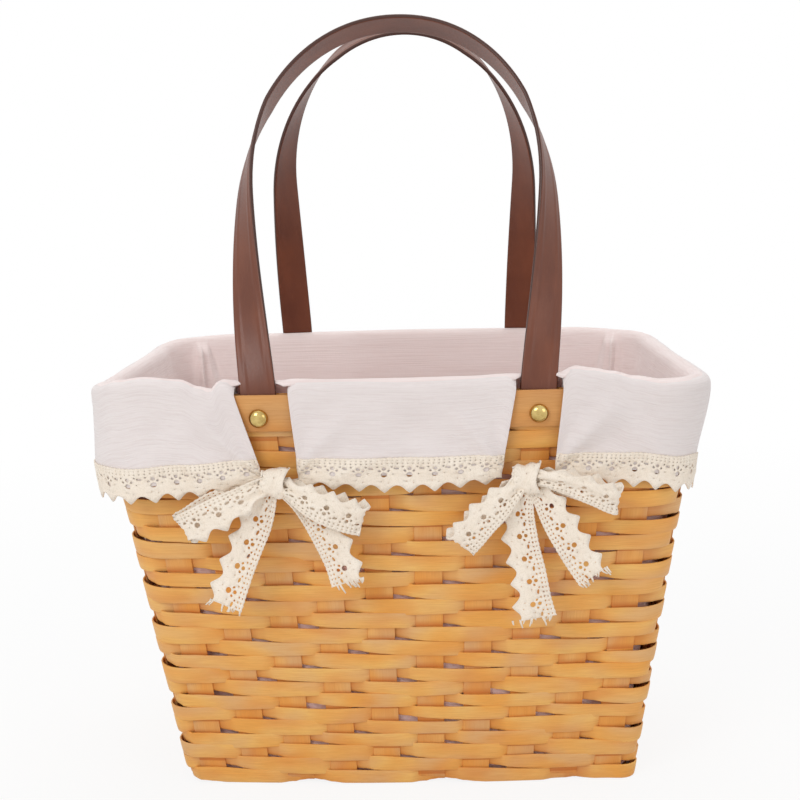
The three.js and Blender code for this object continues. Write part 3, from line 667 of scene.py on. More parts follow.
# rim hoops
hoop = {"height": 18.5, "thickness": 1.5, "edge": 0.35, "outerOut": 3.55, "innerOut": -1.45, "cup": 0.25,
        "length": 930, "edgeShade": 0.15}


def ringPoint(q, z, out):  # q runs from 0 to 4 round the four sides, each with the corner that follows it
    side = int(q) % 4
    f = q - int(q)
    split = wall["cornerFrom"]
    if f < split:
        return wallPoint(side, wallSize(side, z)[0] * (2 * f / split - 1), z, out)
    return cornerPoint(side, (f - split) / (1 - split) * math.pi / 2, z, out)


def makeHoop(name, out, node):
    def surface(u, v):
        across = 2 * v - 1
        z = wall["height"] - hoop["height"] * (1 - v)
        spot = ringPoint(u * 4 % 4, z, out + hoop["cup"] * (1 - across ** 2))
        # painted shade towards the band's top and bottom edges
        return spot, u * hoop["length"], v * hoop["height"] + out * 50, hoop["edgeShade"] * across ** 4

    bm = surfaceMesh(320, 4, surface, closed=True, tints="recess")
    piece = makePiece(name, bm, rimWood, hoop["thickness"], hoop["edge"])
    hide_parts(node)


makeHoop("hoop_outer", hoop["outerOut"], "rim_band_outer")
makeHoop("hoop_inner", hoop["innerOut"], "rim_band_inner")
print("rim ready")

# strap handles, each one strap from inside the rim, twisting on edge over the top
strap = {"width": 18, "thickness": 2.0, "endDepth": 17.5, "out": 1.65, "hingeAbove": 1.5, "reach": 191.5,
         "bulge": {front: 76.2, back: 70.2}, "sideways": {front: 1.8, back: 3.0}, "bulgeHeight": 98,
         "roundness": {front: 2.08, back: 2.02}, "lean": {front: 21, back: 19},
         "twist": {front: 152, back: 190}, "wallLean": 7.8, "ridgeAt": 5.4, "ridgeHeight": 0.3,
         "ridgeWidth": 0.55, "edge": 0.45, "hollow": 0.12, "rings": 260}
strapPlace = stakeAlong(front, 7, wall["height"])


def strapProfile():  # closed outline of the strap's section, across and through, with two fine raised lines
    half, thick, edge = strap["width"] / 2, strap["thickness"] / 2, strap["edge"]
    points = []
    for face in (1, -1):
        for i in range(25):
            a = face * mixed(edge - half, half - edge, i / 24)
            lift = -strap["hollow"] * (1 - (a / half) ** 2)
            for ridge in (-strap["ridgeAt"], strap["ridgeAt"]) if face > 0 else ():
                lift += strap["ridgeHeight"] * math.exp(-((a - ridge) / strap["ridgeWidth"]) ** 2)
            points.append((a, face * (thick + lift), 0.0))
        for i in (1, 2, 3):
            angle = math.pi / 2 - i * math.pi / 4
            a = half - edge + edge * math.cos(angle)
            points.append((face * a, face * thick * math.sin(angle), 1.0))
    return points


def handleOutline(t, side):  # half an arch from the rim to the top, across and up in its own plane
    bulge = strap["bulge"][side]
    rise = strap["bulgeHeight"] / strap["reach"]
    if t < rise:
        return mixed(strapPlace, bulge, math.sin(t / rise * math.pi / 2)), t * strap["reach"]
    angle = (t - rise) / (1 - rise) * math.pi / 2
    power = 2 / strap["roundness"][side]
    return (bulge * max(math.cos(angle), 0) ** power,
            strap["bulgeHeight"] + (strap["reach"] - strap["bulgeHeight"]) * math.sin(angle) ** power)


def strapFrames(side):
    lean = math.radians(strap["lean"][side])
    hingeHeight = wall["height"] + strap["hingeAbove"]
    reach = wallPoint(side, strapPlace, wall["height"], strap["out"]).dot(directions(side)[1])

    def onPlane(x, s):
        return place(side, x, reach - s * math.sin(lean), hingeHeight + s * math.cos(lean))

    leg = []
    for i in range(9):  # the flat end between the hoop and the wall
        z = mixed(wall["height"] - strap["endDepth"], wall["height"] - 1, i / 8)
        leg.append(wallPoint(side, strapPlace, z, strap["out"]))
    outline = [handleOutline(i / 60, side) for i in range(61)]
    leg += [onPlane(x, s) for x, s in outline[1:]]
    for _ in range(6):  # ease the bend at the rim
        leg[5:14] = [(leg[i - 1] + leg[i] * 2 + leg[i + 1]) / 4 for i in range(5, 14)]
    mirrored = [mirrorAcross(side, point) for point in leg]
    points = leg + mirrored[-2::-1]
    for point in points:  # the top leans a little to one side
        point.x += strap["sideways"][side] * max((point.z - hingeHeight) / strap["reach"], 0) ** 2
    return resample(points, strap["rings"])


def mirrorAcross(side, point):
    tangent = directions(side)[0]
    return point - tangent * (2 * point.dot(tangent))


def resample(points, count):
    lengths = [0.0]
    for a, b in zip(points, points[1:]):
        lengths.append(lengths[-1] + (b - a).length)
    spots, index = [], 0
    for i in range(count + 1):
        goal = lengths[-1] * i / count
        while index < len(points) - 2 and lengths[index + 1] < goal:
            index += 1
        share = (goal - lengths[index]) / max(lengths[index + 1] - lengths[index], 1e-6)
        spots.append(points[index].lerp(points[index + 1], min(share, 1.0)))
    return spots, lengths[-1]


def tilted(side, degrees):  # the outward direction of a side, turned up
    angle = math.radians(degrees)
    return directions(side)[1] * math.cos(angle) + Vector((0, 0, math.sin(angle)))


def strapSections(side):  # the strap's middle, the direction of its width and the one through it
    spots, total = strapFrames(side)
    leanOut, wallOut = tilted(side, strap["lean"][side]), tilted(side, -strap["wallLean"])
    sections = []
    for i, spot in enumerate(spots):
        run = (spots[min(i + 1, len(spots) - 1)] - spots[max(i - 1, 0)]).normalized()
        fromRim = min(i, len(spots) - 1 - i) / strap["rings"] * total - strap["endDepth"]
        face = wallOut.lerp(leanOut, smooth(fromRim / 14 + 0.3)).normalized()
        flat = run.cross(face).normalized()
        face = flat.cross(run).normalized()
        twist = -min(max(fromRim / strap["twist"][side], 0), 1) * math.pi / 2
        wide = flat * math.cos(twist) + face * math.sin(twist)
        sections.append((spot, wide, wide.cross(run).normalized()))
    return sections, total


def makeHandle(name, side, nodes):
    sections, total = strapSections(side)
    profile = strapProfile()
    count = len(profile)

    def surface(u, v):
        spot, wide, thin = sections[round(u * strap["rings"])]
        a, b, edge = profile[round(v * count) % count]
        return spot + wide * a + thin * b, u * total, round(v * count) * 0.75, edge

    bm = surfaceMesh(strap["rings"], count, surface, closed=True, tints="edge")
    ends = [edge for edge in bm.edges if edge.is_boundary]
    bmesh.ops.holes_fill(bm, edges=ends, sides=0)
    bmesh.ops.recalc_face_normals(bm, faces=bm.faces)
    piece = makePiece(name, bm, strapLeather, ride=None)
    reach = wallPoint(side, strapPlace, wall["height"], strap["out"]).dot(directions(side)[1])
    hinge = toScene(place(side, 0, reach, wall["height"] + strap["hingeAbove"]))
    rise = tilted(side, strap["lean"][side] + 90)
    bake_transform(piece)
    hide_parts(*nodes)


for side, end in ((front, "front"), (back, "back")):
    nodes = [f"{end}_handle", f"handle_end_{end}_left", f"handle_end_{end}_right"]
    makeHandle(f"strap_{end}", side, nodes)
print("handles ready")

# rivets with low round heads
rivet = {"belowRim": 11, "radius": 4.8, "height": 3.0, "flange": 0.5, "near": 4.7, "lip": 0.15, "steps": 9,
         "around": 40}


def makeRivet(label, side, along):
    z = wall["height"] - rivet["belowRim"]
    up = (wallPoint(side, along, z + 1, 0) - wallPoint(side, along, z - 1, 0)).normalized()
    tangent = (wallPoint(side, along + 1, z, 0) - wallPoint(side, along - 1, z, 0)).normalized()
    normal = tangent.cross(up).normalized()
    bm = bmesh.new()
    radius, near = rivet["radius"], rivet["near"]
    outline = [(radius - 1.2, near - 1.5), (radius - 0.25, near - 0.1), (radius, near + rivet["flange"] / 2)]
    for i in range(rivet["steps"] + 1):
        angle = i / rivet["steps"] * math.pi / 2
        height = near + rivet["flange"] + rivet["height"] * math.sin(angle)
        outline.append(((radius - rivet["lip"]) * math.cos(angle), height))
    verts = [bm.verts.new((r, 0, h)) for r, h in outline]
    edges = [bm.edges.new(pair) for pair in zip(verts, verts[1:])]
    bmesh.ops.spin(bm, geom=verts + edges, axis=(0, 0, 1), cent=(0, 0, 0), angle=2 * math.pi,
                   steps=rivet["around"], use_merge=True)
    bmesh.ops.remove_doubles(bm, verts=bm.verts, dist=0.001)
    bmesh.ops.holes_fill(bm, edges=[edge for edge in bm.edges if edge.is_boundary], sides=0)
    bmesh.ops.recalc_face_normals(bm, faces=bm.faces)
    origin = wallPoint(side, along, z, 0)
    for vert in bm.verts:
        vert.co = toScene(origin + tangent * vert.co.x + up * vert.co.y + normal * vert.co.z)
    piece = makePiece(f"rivet_head_{label}", bm, brass)
    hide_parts(f"rivet_{label}")


for label, side, way in strapEnds:
    makeRivet(label, side, way * strapPlace)
    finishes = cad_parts[f"rivet_washer_{label}"].data.materials
    finishes.clear()
    finishes.append(brass)
print("rivets ready")

# liner: a cloth bag inside, its top turned out over the rim in four panels
liner = {"inset": 2.35, "floor": 4.6, "edgeLevel": 6.2, "round": 9, "thickness": 0.8, "edge": 0.25,
         "length": 760, "hemBelow": 41.4, "laceBelow": 31.8, "laceOver": 0.95, "hemOut": 8.2, "pleat": 7.5,
         "columns": 140, "drape": 0.7, "endDrop": 2.2, "flat": (0.62, 0.56)}
# shares of the bag's section where the floor, the rounded edge and the wall end
bagBands = (0.3, 0.4, 0.8)
# the slits for the straps, from the side's middle: inner edge at the rim and the hem, outer edge likewise
slits = {"front_left": (53.5, 50, 80, 67.5), "front_right": (57.5, 50, 80.5, 76),
         "back_left": (54, 50, 80, 73), "back_right": (54, 50, 80, 73)}


# where the corners are folded over, by sides passed, and which way
pleats = [(0.92, 1), (1.955, 1), (2.865, -1), (3.92, -1)]


def pleatDepth(q, z):  # each fold is wider towards the floor
    amount = 0.0
    for corner, way in pleats:
        near = ((q - corner + 2) % 4 - 2) * way
        spread = 0.024 + (wall["height"] - z) * 0.0012
        folded = smooth((near + 0.006) / 0.006) * (1 - smooth((near - spread) / 0.008))
        pulled = smooth((near + spread * 0.8) / 0.03) * (1 - smooth(near / 0.008))
        amount += 0.55 * folded + 0.45 * pulled
    return liner["pleat"] * amount * smooth(z / 60)


# how far the cloth rises over the rim, by the angle round the basket from the middle of the front
rimLifts = [(-180, 2.6), (-161, 2.4), (-152, 2.2), (-147, 2.6), (-135, 1.4), (-122, -0.8), (-90, -1.2),
            (-60, -1.2), (-49, 0.8), (-43, 4.2), (-39.4, 5.8), (-34.7, 4.4), (-32, 0.8), (-30.4, -0.6),
            (-28.7, 4.4), (-26.5, 3.4), (-20, 3.2), (-17.5, 4.0), (-12, 3.4), (0, 3.4), (12, 3.6),
            (19, 4.4), (23, 3.2), (26.5, 4.4), (28.5, 7.6), (31, 6.2), (33.7, 4.4), (37, 1.6),
            (40.5, -0.4), (48, -1.0), (90, -1.2), (122, -0.8), (136, 0.6), (147, 2.2), (152, 2.2),
            (161, 2.4), (180, 2.6)]


def liftAt(spot):
    angle = math.degrees(math.atan2(spot.x / wall["rimLength"], -spot.y / wall["rimDepth"]))
    return between(rimLifts, angle)


def strapRoom(spot):  # 1 where a strap stands against the top of the bag
    if abs(spot.y) < wall["rimDepth"] - 8:
        return 0
    beside = abs(abs(spot.x) - strapPlace) - strap["width"] / 2
    return smooth(1 - beside / 2)


# the top of the bag in section, up the hoop, over the crest and down into the fold: out, height, share of
# the lift; behind a strap it stops short
crest = [(-5.0, 197, 0), (-5.3, 206, 0), (-5.3, 211.5, 0), (-5.3, 214.5, 0.6), (-4.6, 217.2, 1),
         (-3.1, 218.5, 1), (-1.1, 218.95, 1), (1.4, 218.15, 1), (3.4, 216.9, 1)]
crestAtStrap = crest[:5] + [(-3.9, 218.4, 1), (-3.2, 218.9, 1), (-2.6, 218.8, 1), (-2.1, 218.2, 0.9)]


def bagRim(share, lift, room):
    stops = [[mixed(a, b, room) for a, b in zip(one, other)] for one, other in zip(crest, crestAtStrap)]
    stops = [(out, up + lift * part) for out, up, part in stops]
    last = len(stops) - 1
    i = min(int(share * last), last - 1)
    around = [stops[max(i - 1, 0)], stops[i], stops[i + 1], stops[min(i + 2, last)]]
    return [catmull(*(stop[k] for stop in around), share * last - i) for k in (0, 1)]


def catmull(a, b, c, d, t):
    square, cube = 2 * a - 5 * b + 4 * c - d, 3 * b - a - 3 * c + d
    return 0.5 * (2 * b + (c - a) * t + square * t * t + cube * t ** 3)


def flatArea(piece):
    return sum(polygon.area for polygon in piece.data.polygons)


# how the bag's columns are spread along a side and its corner: most go to the corner, to the pleats
bagSpacing = [(0, 0), (0.16, 0.09), (0.6, 0.76), (1, 1)]


def makeBag():
    floorEnd, edgeEnd, wallEnd = bagBands
    floor, inset, radius = liner["floor"], liner["inset"], liner["round"]

    def surface(u, v):
        q = int(u * 4 % 4) + between(bagSpacing, u * 4 % 1, plain)
        if v < edgeEnd:  # the floor from its middle outwards, then up round the edge
            share = min(v / floorEnd, 1)
            angle = max(v - floorEnd, 0) / (edgeEnd - floorEnd) * math.pi / 2
            spot = ringPoint(q, liner["edgeLevel"], -inset - radius * 0.5 * (1 - math.sin(angle))) * share
            wave = 0.5 * noise.noise(Vector((spot.x * 0.03, spot.y * 0.03, 5)))
            spot.z = floor + radius * (1 - math.cos(angle)) + wave * share * (1 - share) * 3
            return (spot, spot.x, spot.y, 0.0) if v < floorEnd else (spot, u * liner["length"], spot.z, 0.0)
        if v > wallEnd:
            rim = ringPoint(q, wall["height"], 0)
            out, z = bagRim((v - wallEnd) / (1 - wallEnd), liftAt(rim), strapRoom(rim))
        else:
            z = mixed(floor + radius, crest[0][1], (v - edgeEnd) / (wallEnd - edgeEnd))
            out = mixed(-inset, crest[0][0], smooth((z - crest[0][1] + 13) / 13))
        soft = liner["drape"] * noise.noise(Vector((q * 5, z * 0.012, 2.2)))
        soft = max(soft + 0.35 * noise.noise(Vector((q * 16, z * 0.03, 6.2))), -0.1)
        over = 1 - 0.85 * smooth((z - 212) / 6)
        spot = ringPoint(q, z, out - (soft * smooth(z / 40) + pleatDepth(q, z)) * over)
        return spot, u * liner["length"], z, 0.0

    bm = surfaceMesh(liner["columns"] * 4, 70, surface, closed=True)
    # outer face with painted light shining through, inner face with painted bounce light
    piece = makePiece("liner_inside", bm, cottonBehindPaintedBacklight, liner["thickness"],
                      reverse=cottonInsidePaintedBounce)
    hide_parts("liner_bag")


def slitEdge(label, z, outer=False):
    t = min(max((wall["height"] - z) / liner["hemBelow"], 0), 1)
    atRim, atHem = slits[label][2:] if outer else slits[label][:2]
    return mixed(atRim, atHem, t)


# each panel's side and the slits where it starts and ends
panels = {"front": (front, "front_left", "front_right"), "right": (right, "front_right", "back_right"),
          "back": (back, "back_right", "back_left"), "left": (left, "back_left", "front_left")}


def routeParts(name):  # the stretches of a panel's way round the wall
    side, start, stop = panels[name]
    if name in ("front", "back"):
        return [lambda f, z, out: wallPoint(side, mixed(-slitEdge(start, z), slitEdge(stop, z), f), z, out)]
    before, after = (side - 1) % 4, (side + 1) % 4

    def halfCorner(side, half):
        return lambda f, z, out: cornerPoint(side, math.pi / 4 * (half + f), z, out)

    def fromSlit(side, slit, sign):
        def point(f, z, out):
            along = mixed(slitEdge(slit, z, True), wallSize(side, z)[0], f)
            return wallPoint(side, sign * along, z, out)

        return point

    leaving, arriving = fromSlit(before, start, 1), fromSlit(after, stop, -1)
    return [leaving, halfCorner(before, 0), halfCorner(before, 1),
            lambda f, z, out: wallPoint(side, wallSize(side, z)[0] * (2 * f - 1), z, out),
            halfCorner(side, 0), halfCorner(side, 1), lambda f, z, out: arriving(1 - f, z, out)]


def panelRoute(name):
    parts = routeParts(name)
    hem = wall["height"] - liner["hemBelow"]
    lengths = [max((part(0, hem, 8) - part(1, hem, 8)).length, 1e-3) for part in parts]
    total = sum(lengths)

    def point(distance, z, out):
        rest, i = distance, 0
        while i < len(parts) - 1 and rest > lengths[i]:
            rest -= lengths[i]
            i += 1
        return parts[i](min(rest / lengths[i], 1), z, out)

    return point, total


# the fold in section, from inside the bag over the rim and down to the hem: out, up from the rim, share of
# the lift
foldSection = [(-3.6, -4.2, 0.7), (-3.8, -1.6, 0.9), (-3.5, 0.4, 1), (-2.4, 1.5, 1), (-0.3, 2.1, 1),
               (3.0, 1.6, 1), (5.1, -0.6, 1), (5.9, -4.5, 0.6), (6.4, -10.0, 0.2), (7.1, -17.0, 0),
               (7.7, -26.0, 0), (8.2, -34.8, 0), (8.4, -41.4, 0)]


def foldPoint(share, lift=0.0):
    section = [(out, up + lift * part) for out, up, part in foldSection]
    lengths = [0.0]
    for (a, b), (c, d) in zip(section, section[1:]):
        lengths.append(lengths[-1] + math.hypot(c - a, d - b))
    goal = share * lengths[-1]
    i = 0
    while i < len(section) - 2 and lengths[i + 1] < goal:
        i += 1
    t = (goal - lengths[i]) / (lengths[i + 1] - lengths[i])
    before = section[max(i - 1, 0)]
    after = section[min(i + 2, len(section) - 1)]
    a, b = section[i], section[i + 1]
    return tuple(catmull(before[k], a[k], b[k], after[k], t) for k in (0, 1)) + (goal,)


# how far the hem stands out from the wall along each panel, from its start to its end
hemStand = {"front": [(0, 0), (1, 0)], "back": [(0, 0), (1, 0)],
            "right": [(0, 0), (0.1, -3.2), (0.3, -3.6), (0.7, -1), (1, 0)],
            "left": [(0, 0), (0.6, 1.0), (0.78, 3.6), (0.92, 3.2), (1, 0.4)]}

# how much lower the hem hangs along each panel
hemDrop = {"front": [(0, 0), (1, 0)], "back": [(0, 0), (1, 0)],
           "right": [(0, 0), (0.12, 1), (0.22, 6), (0.33, 10.5), (0.5, 9), (0.7, 3), (1, 0)],
           "left": [(0, 0), (0.3, 2), (0.5, 4), (0.67, 6), (0.78, 5), (0.88, 2), (1, 0)]}
# soft folds in each panel: distance share at the rim and at the hem, width and height in millimetres
drapes = {
    "front": [(0.55, 0.15, 12, 1.1), (0.8, 0.4, 16, -0.7)],
    "back": [(0.35, 0.6, 14, 1.0), (0.60, 0.80, 16, -0.7)],
    "right": [(0.04, 0.20, 12, 1.1), (0.30, 0.24, 14, 0.9), (0.52, 0.60, 18, -0.9), (0.80, 0.74, 16, 1.0)],
    "left": [(0.97, 0.80, 12, 1.2), (0.88, 0.70, 16, 0.9), (0.74, 0.76, 12, -0.8), (0.45, 0.40, 18, 1.0)],
}


def clothOut(name, share, z, total):  # how far the cloth stands out at a height below the rim
    down = min(max(-z, 0) / liner["hemBelow"], 1)
    return hemSway(name, share, smooth(down)) + drapeOut(name, share, down, total)


def hemSway(name, share, height):
    seed = len(name) * 3.7
    sway = 1.3 * noise.noise(Vector((share * 9, seed, 0.4)))
    sway += 0.5 * noise.noise(Vector((share * 31, seed, 1.7)))
    return (sway + between(hemStand[name], share)) * height


# pulls in the cloth that fan out from each bow: angle above the hem, spread and height
pulls = [(14, 6, 1.4), (33, 7, -1.1), (50, 6, 1.7), (68, 7, -1.1), (86, 6, 0.9)]
pullStrength = [(0, 0), (14, 1), (30, 1), (90, 0)]  # by the distance from the bow


def pullOut(name, share, down, total):
    out = 0.0
    height = (1 - down) * liner["hemBelow"] + 4
    for end in (0, 1):
        away = abs(share - end) * total + 5
        reach = math.hypot(away, height)
        angle = math.degrees(math.atan2(height, away))
        strength = between(pullStrength, reach) * min(1, down * 4)
        for at, spread, rise in pulls:
            wander = 5 * noise.noise(Vector((reach * 0.03, at, end + len(name))))
            out += rise * strength * math.exp(-((angle - at - wander) / spread) ** 2)
    return out


def drapeOut(name, share, down, total):
    out = pullOut(name, share, down, total)
    for top, foot, width, height in drapes[name]:
        gap = (share - mixed(top, foot, down)) * total
        out += height * math.exp(-(gap / width) ** 2) * smooth(down * 3 + 0.2)
    return out


def hangs(name, share, below):  # how much lower the cloth hangs at this distance below the rim
    return between(hemDrop[name], share) * smooth(below / liner["hemBelow"])


def skirtPoint(name, point, total, share, along):
    end = min(share, 1 - share) * total
    lift = liftAt(point(share * total, wall["height"], 0)) - liner["endDrop"] * (1 - smooth(end / 3))
    lift += 0.5 * noise.noise(Vector((share * total * 0.03, 4.4, len(name))))
    out, z, run = foldPoint(along, lift)
    z -= hangs(name, share, -z)
    return point(share * total, wall["height"] + z, out + clothOut(name, share, z, total)), run


def makeSkirts():
    for name in panels:
        point, total = panelRoute(name)

        def surface(u, v):
            spot, run = skirtPoint(name, point, total, u, v)
            return spot, u * total, run, 0.0

        bm = surfaceMesh(round(total / 2), 44, surface)
        piece = makePiece(f"liner_fold_{name}", bm, cotton, liner["thickness"], liner["edge"])
        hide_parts(f"liner_skirt_{name}")
        hem = makeLaceHem(name, point, total)
        area = flatArea(piece)
        width = total * mm
        length = foldPoint(1)[2] * mm
        max(width, area / length)


# lace: one repeat of the pattern, then as many as a strip needs
lace = {"pitch": 12, "width": 18.5, "scallop": 4.0, "point": 1.35, "tip": 4.5, "picot": 0.3, "edgeSteps": 20,
        "scallopSteps": 16, "sideSteps": 7, "thickness": 0.75, "gather": 0.2}
# openings: along, down from the straight edge, half length, half height, turn
laceHoles = [(4.5, 9.1, 1.5, 1.35, 0), (4.5, 5.9, 1.0, 0.95, 0), (2.4, 7.0, 0.75, 0.6, 0.7),
             (6.6, 7.0, 0.75, 0.6, -0.7), (10.3, 5.7, 1.35, 0.6, 0.15), (8.2, 4.9, 0.6, 0.45, 0.3),
             (1.3, 4.9, 0.55, 0.45, -0.3), (8.9, 8.6, 0.3, 0.3, 0), (3.2, 12.6, 0.25, 0.25, 0),
             (6.4, 13.4, 0.25, 0.25, 0)]


def laceCell(name, openings, beading):
    bm = bmesh.new()
    pitch, width = lace["pitch"], lace["width"]
    valley = width - lace["scallop"]

    def lowEdge(x):
        wave = abs(math.sin(math.pi * (x - lace["tip"]) / pitch))
        return valley + lace["scallop"] * (1 - wave ** lace["point"])

    top, low, steps = lace["edgeSteps"], lace["scallopSteps"], lace["sideSteps"]
    endCuts = [lowEdge(0) * k / steps for k in range(1, steps)]
    picots = [lace["picot"] * (0.5 - 0.5 * math.cos(math.pi * i / 2)) for i in range(top + 1)]
    outline = [(pitch * i / top, t) for i, t in enumerate(picots)]
    outline += [(pitch, t) for t in endCuts]
    outline += [(pitch * (1 - i / low), lowEdge(pitch * (1 - i / low))) for i in range(low + 1)]
    outline += [(0, t) for t in reversed(endCuts)]
    rings = [outline]
    holes = list(openings)
    for i in range(5):  # two lines of small holes along the straight edge
        holes.append((1.2 + 2.4 * i, 3.1, 0.62 * beading, 0.4 * beading, 0.5 - 0.3 * i))
        holes.append((1.5 + 2.3 * i, 1.5, 0.5 * beading, 0.3 * beading, 0.2 * i - 0.4))
    for x, t, wide, tall, turn in holes:
        corners = 9 if wide > 0.9 else 6
        ring = []
        for k in range(corners):
            angle = 2 * math.pi * k / corners + 0.5
            a, b = wide * math.cos(angle), tall * math.sin(angle)
            ring.append((x + a * math.cos(turn) - b * math.sin(turn),
                         t + a * math.sin(turn) + b * math.cos(turn)))
        rings.append(ring)
    for ring in rings:
        verts = [bm.verts.new((x, t, 0)) for x, t in ring]
        for a, b in zip(verts, verts[1:] + verts[:1]):
            bm.edges.new((a, b))
    bmesh.ops.triangle_fill(bm, use_beauty=True, edges=bm.edges[:])
    for x in (3, 6, 9):  # cuts, so that the repeat can bend
        cut(bm, (x, 0, 0), (1, 0, 0))
    for t in (7.8, 11.2, 14.0):
        cut(bm, (0, t, 0), (0, 1, 0))
    mesh = bpy.data.meshes.new(name)
    bm.to_mesh(mesh)
    bm.free()
    return mesh


def cut(bm, point, normal):
    bmesh.ops.bisect_plane(bm, geom=bm.verts[:] + bm.edges[:] + bm.faces[:], dist=1e-4, plane_co=point,
                           plane_no=normal)


laceRepeats = {"ribbon": laceCell("ribbon_repeat", laceHoles, 1.0),
               "hem": laceCell("hem_repeat", laceHoles, 0.7),
               "knot": laceCell("knot_repeat", laceHoles[-3:], 0.45)}


def layUv(uv, faces, axes):  # the grain's coordinates from two of the axes
    for face in faces:
        for loop in face.loops:
            loop[uv].uv = [getattr(loop.vert.co, axis) * mm for axis in axes]


def laceMesh(length, surface, kind):
    count = max(1, round(length / lace["pitch"]))
    bm = bmesh.new()
    for i in range(count):
        known = len(bm.verts)
        bm.from_mesh(laceRepeats[kind])
        bm.verts.ensure_lookup_table()
        bmesh.ops.translate(bm, vec=(i * lace["pitch"], 0, 0), verts=bm.verts[known:])
    bmesh.ops.remove_doubles(bm, verts=bm.verts, dist=0.02)
    stretch = length / (count * lace["pitch"])
    layUv(bm.loops.layers.uv.new("along"), bm.faces, "xy")
    for vert in bm.verts:
        vert.co = surface(vert.co.x * stretch, vert.co.y)
    return bm


def makeLaceHem(name, point, total):
    def surface(s, t):
        share = min(max(s / total, 0), 1)
        end = min(share, 1 - share) * total
        t *= 1 - lace["gather"] * (1 - smooth((end - 4) / 42))  # drawn up towards the bows
        z = -liner["laceBelow"] - t - hangs(name, share, liner["laceBelow"])
        out = mixed(7.95, 8.4, min(t / 9.6, 1)) + liner["laceOver"] + clothOut(name, share, z, total)
        out += 0.5 * noise.noise(Vector((s * 0.11, t * 0.2, len(name)))) * smooth((t - 5) / 4)
        return toScene(point(share * total, wall["height"] + z, out))

    bm = laceMesh(total, surface, "hem")
    piece = makePiece(f"lace_edge_{name}", bm, laceCotton, lace["thickness"])
    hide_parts(f"lace_hem_{name}")
    return piece


makeBag()
makeSkirts()
print("liner ready")

# bows of the same lace: each ribbon is a path of stops, across, out and up from the knot, the direction of
# its width and how far it is drawn together
bow = {"knotBelow": 43, "knotForward": 3, "knotPlace": 61.5, "crease": 2.2, "threads": 13,
       "threadRadius": 0.22, "threadReach": (1.6, 4.2), "pathSteps": 14}
leftRibbons = {
    "loop_a": [((-2, 2, 0), (0.1, 0, -1), 0.45), ((-9, 6.5, -3.5), (0.1, 0.2, -1), 0.62),
               ((-20, 8, -10.5), (0.1, 0.1, -1), 0.92), ((-33, 7, -17), (0.3, 0, -1), 1),
               ((-43, 4.6, -22.0), (0.5, 0, -0.86), 1), ((-46.2, 2.2, -22.6), (0.55, 0, -0.84), 1),
               ((-42, 0.2, -20.5), (0.5, 0, -0.86), 1), ((-30, -1.0, -13), (0.3, 0, -1), 0.95),
               ((-15, -1.2, -6), (0.1, 0, -1), 0.7), ((-3, -1.5, -1), (0, 0, -1), 0.45)],
    "loop_b": [((2, 2, 0), (0.1, 0, 1), 0.45), ((9, 6.5, -3), (0.3, -0.2, 1), 0.62),
               ((20, 8.4, -8.5), (0.4, -0.1, 0.9), 0.9), ((32, 8, -14), (0.4, 0, 0.9), 1),
               ((41, 5.2, -17.6), (0.42, 0, 0.9), 1), ((43.6, 2.6, -18.4), (0.44, 0, 0.9), 1),
               ((39, 0.6, -17.4), (0.4, 0, 0.9), 1), ((28, -0.4, -13), (0.3, 0, 0.95), 0.95),
               ((14, -0.8, -6), (0.1, 0, 1), 0.7), ((3, -1.5, -1), (0, 0, 1), 0.45)],
    "tail_a": [((-2.5, 1, -2), (-1, 0.2, 0), 0.4), ((-6.4, 1.8, -10), (-1, 0.15, 0.1), 0.78),
               ((-11.0, 1.4, -20), (-1, 0.1, 0.2), 1), ((-16.6, 1.0, -33), (-1, 0, 0.2), 1),
               ((-22.4, 1.6, -47), (-1, -0.1, 0.22), 1.02), ((-28.0, 2.4, -61.5), (-1, -0.15, 0.2), 1.1)],
    "tail_b": [((3, 0.5, -3), (1, -0.3, 0.4), 0.4), ((12, 2.0, -9), (1, -0.4, 0.5), 0.6),
               ((20.5, 2.6, -17.5), (1, -0.2, 0.3), 0.85), ((27, 2.2, -28), (1, 0, 0.2), 1),
               ((31.5, 1.6, -39), (1, 0.1, 0.2), 1), ((35.5, 1.6, -51), (1, 0.15, 0.25), 1.05)],
}
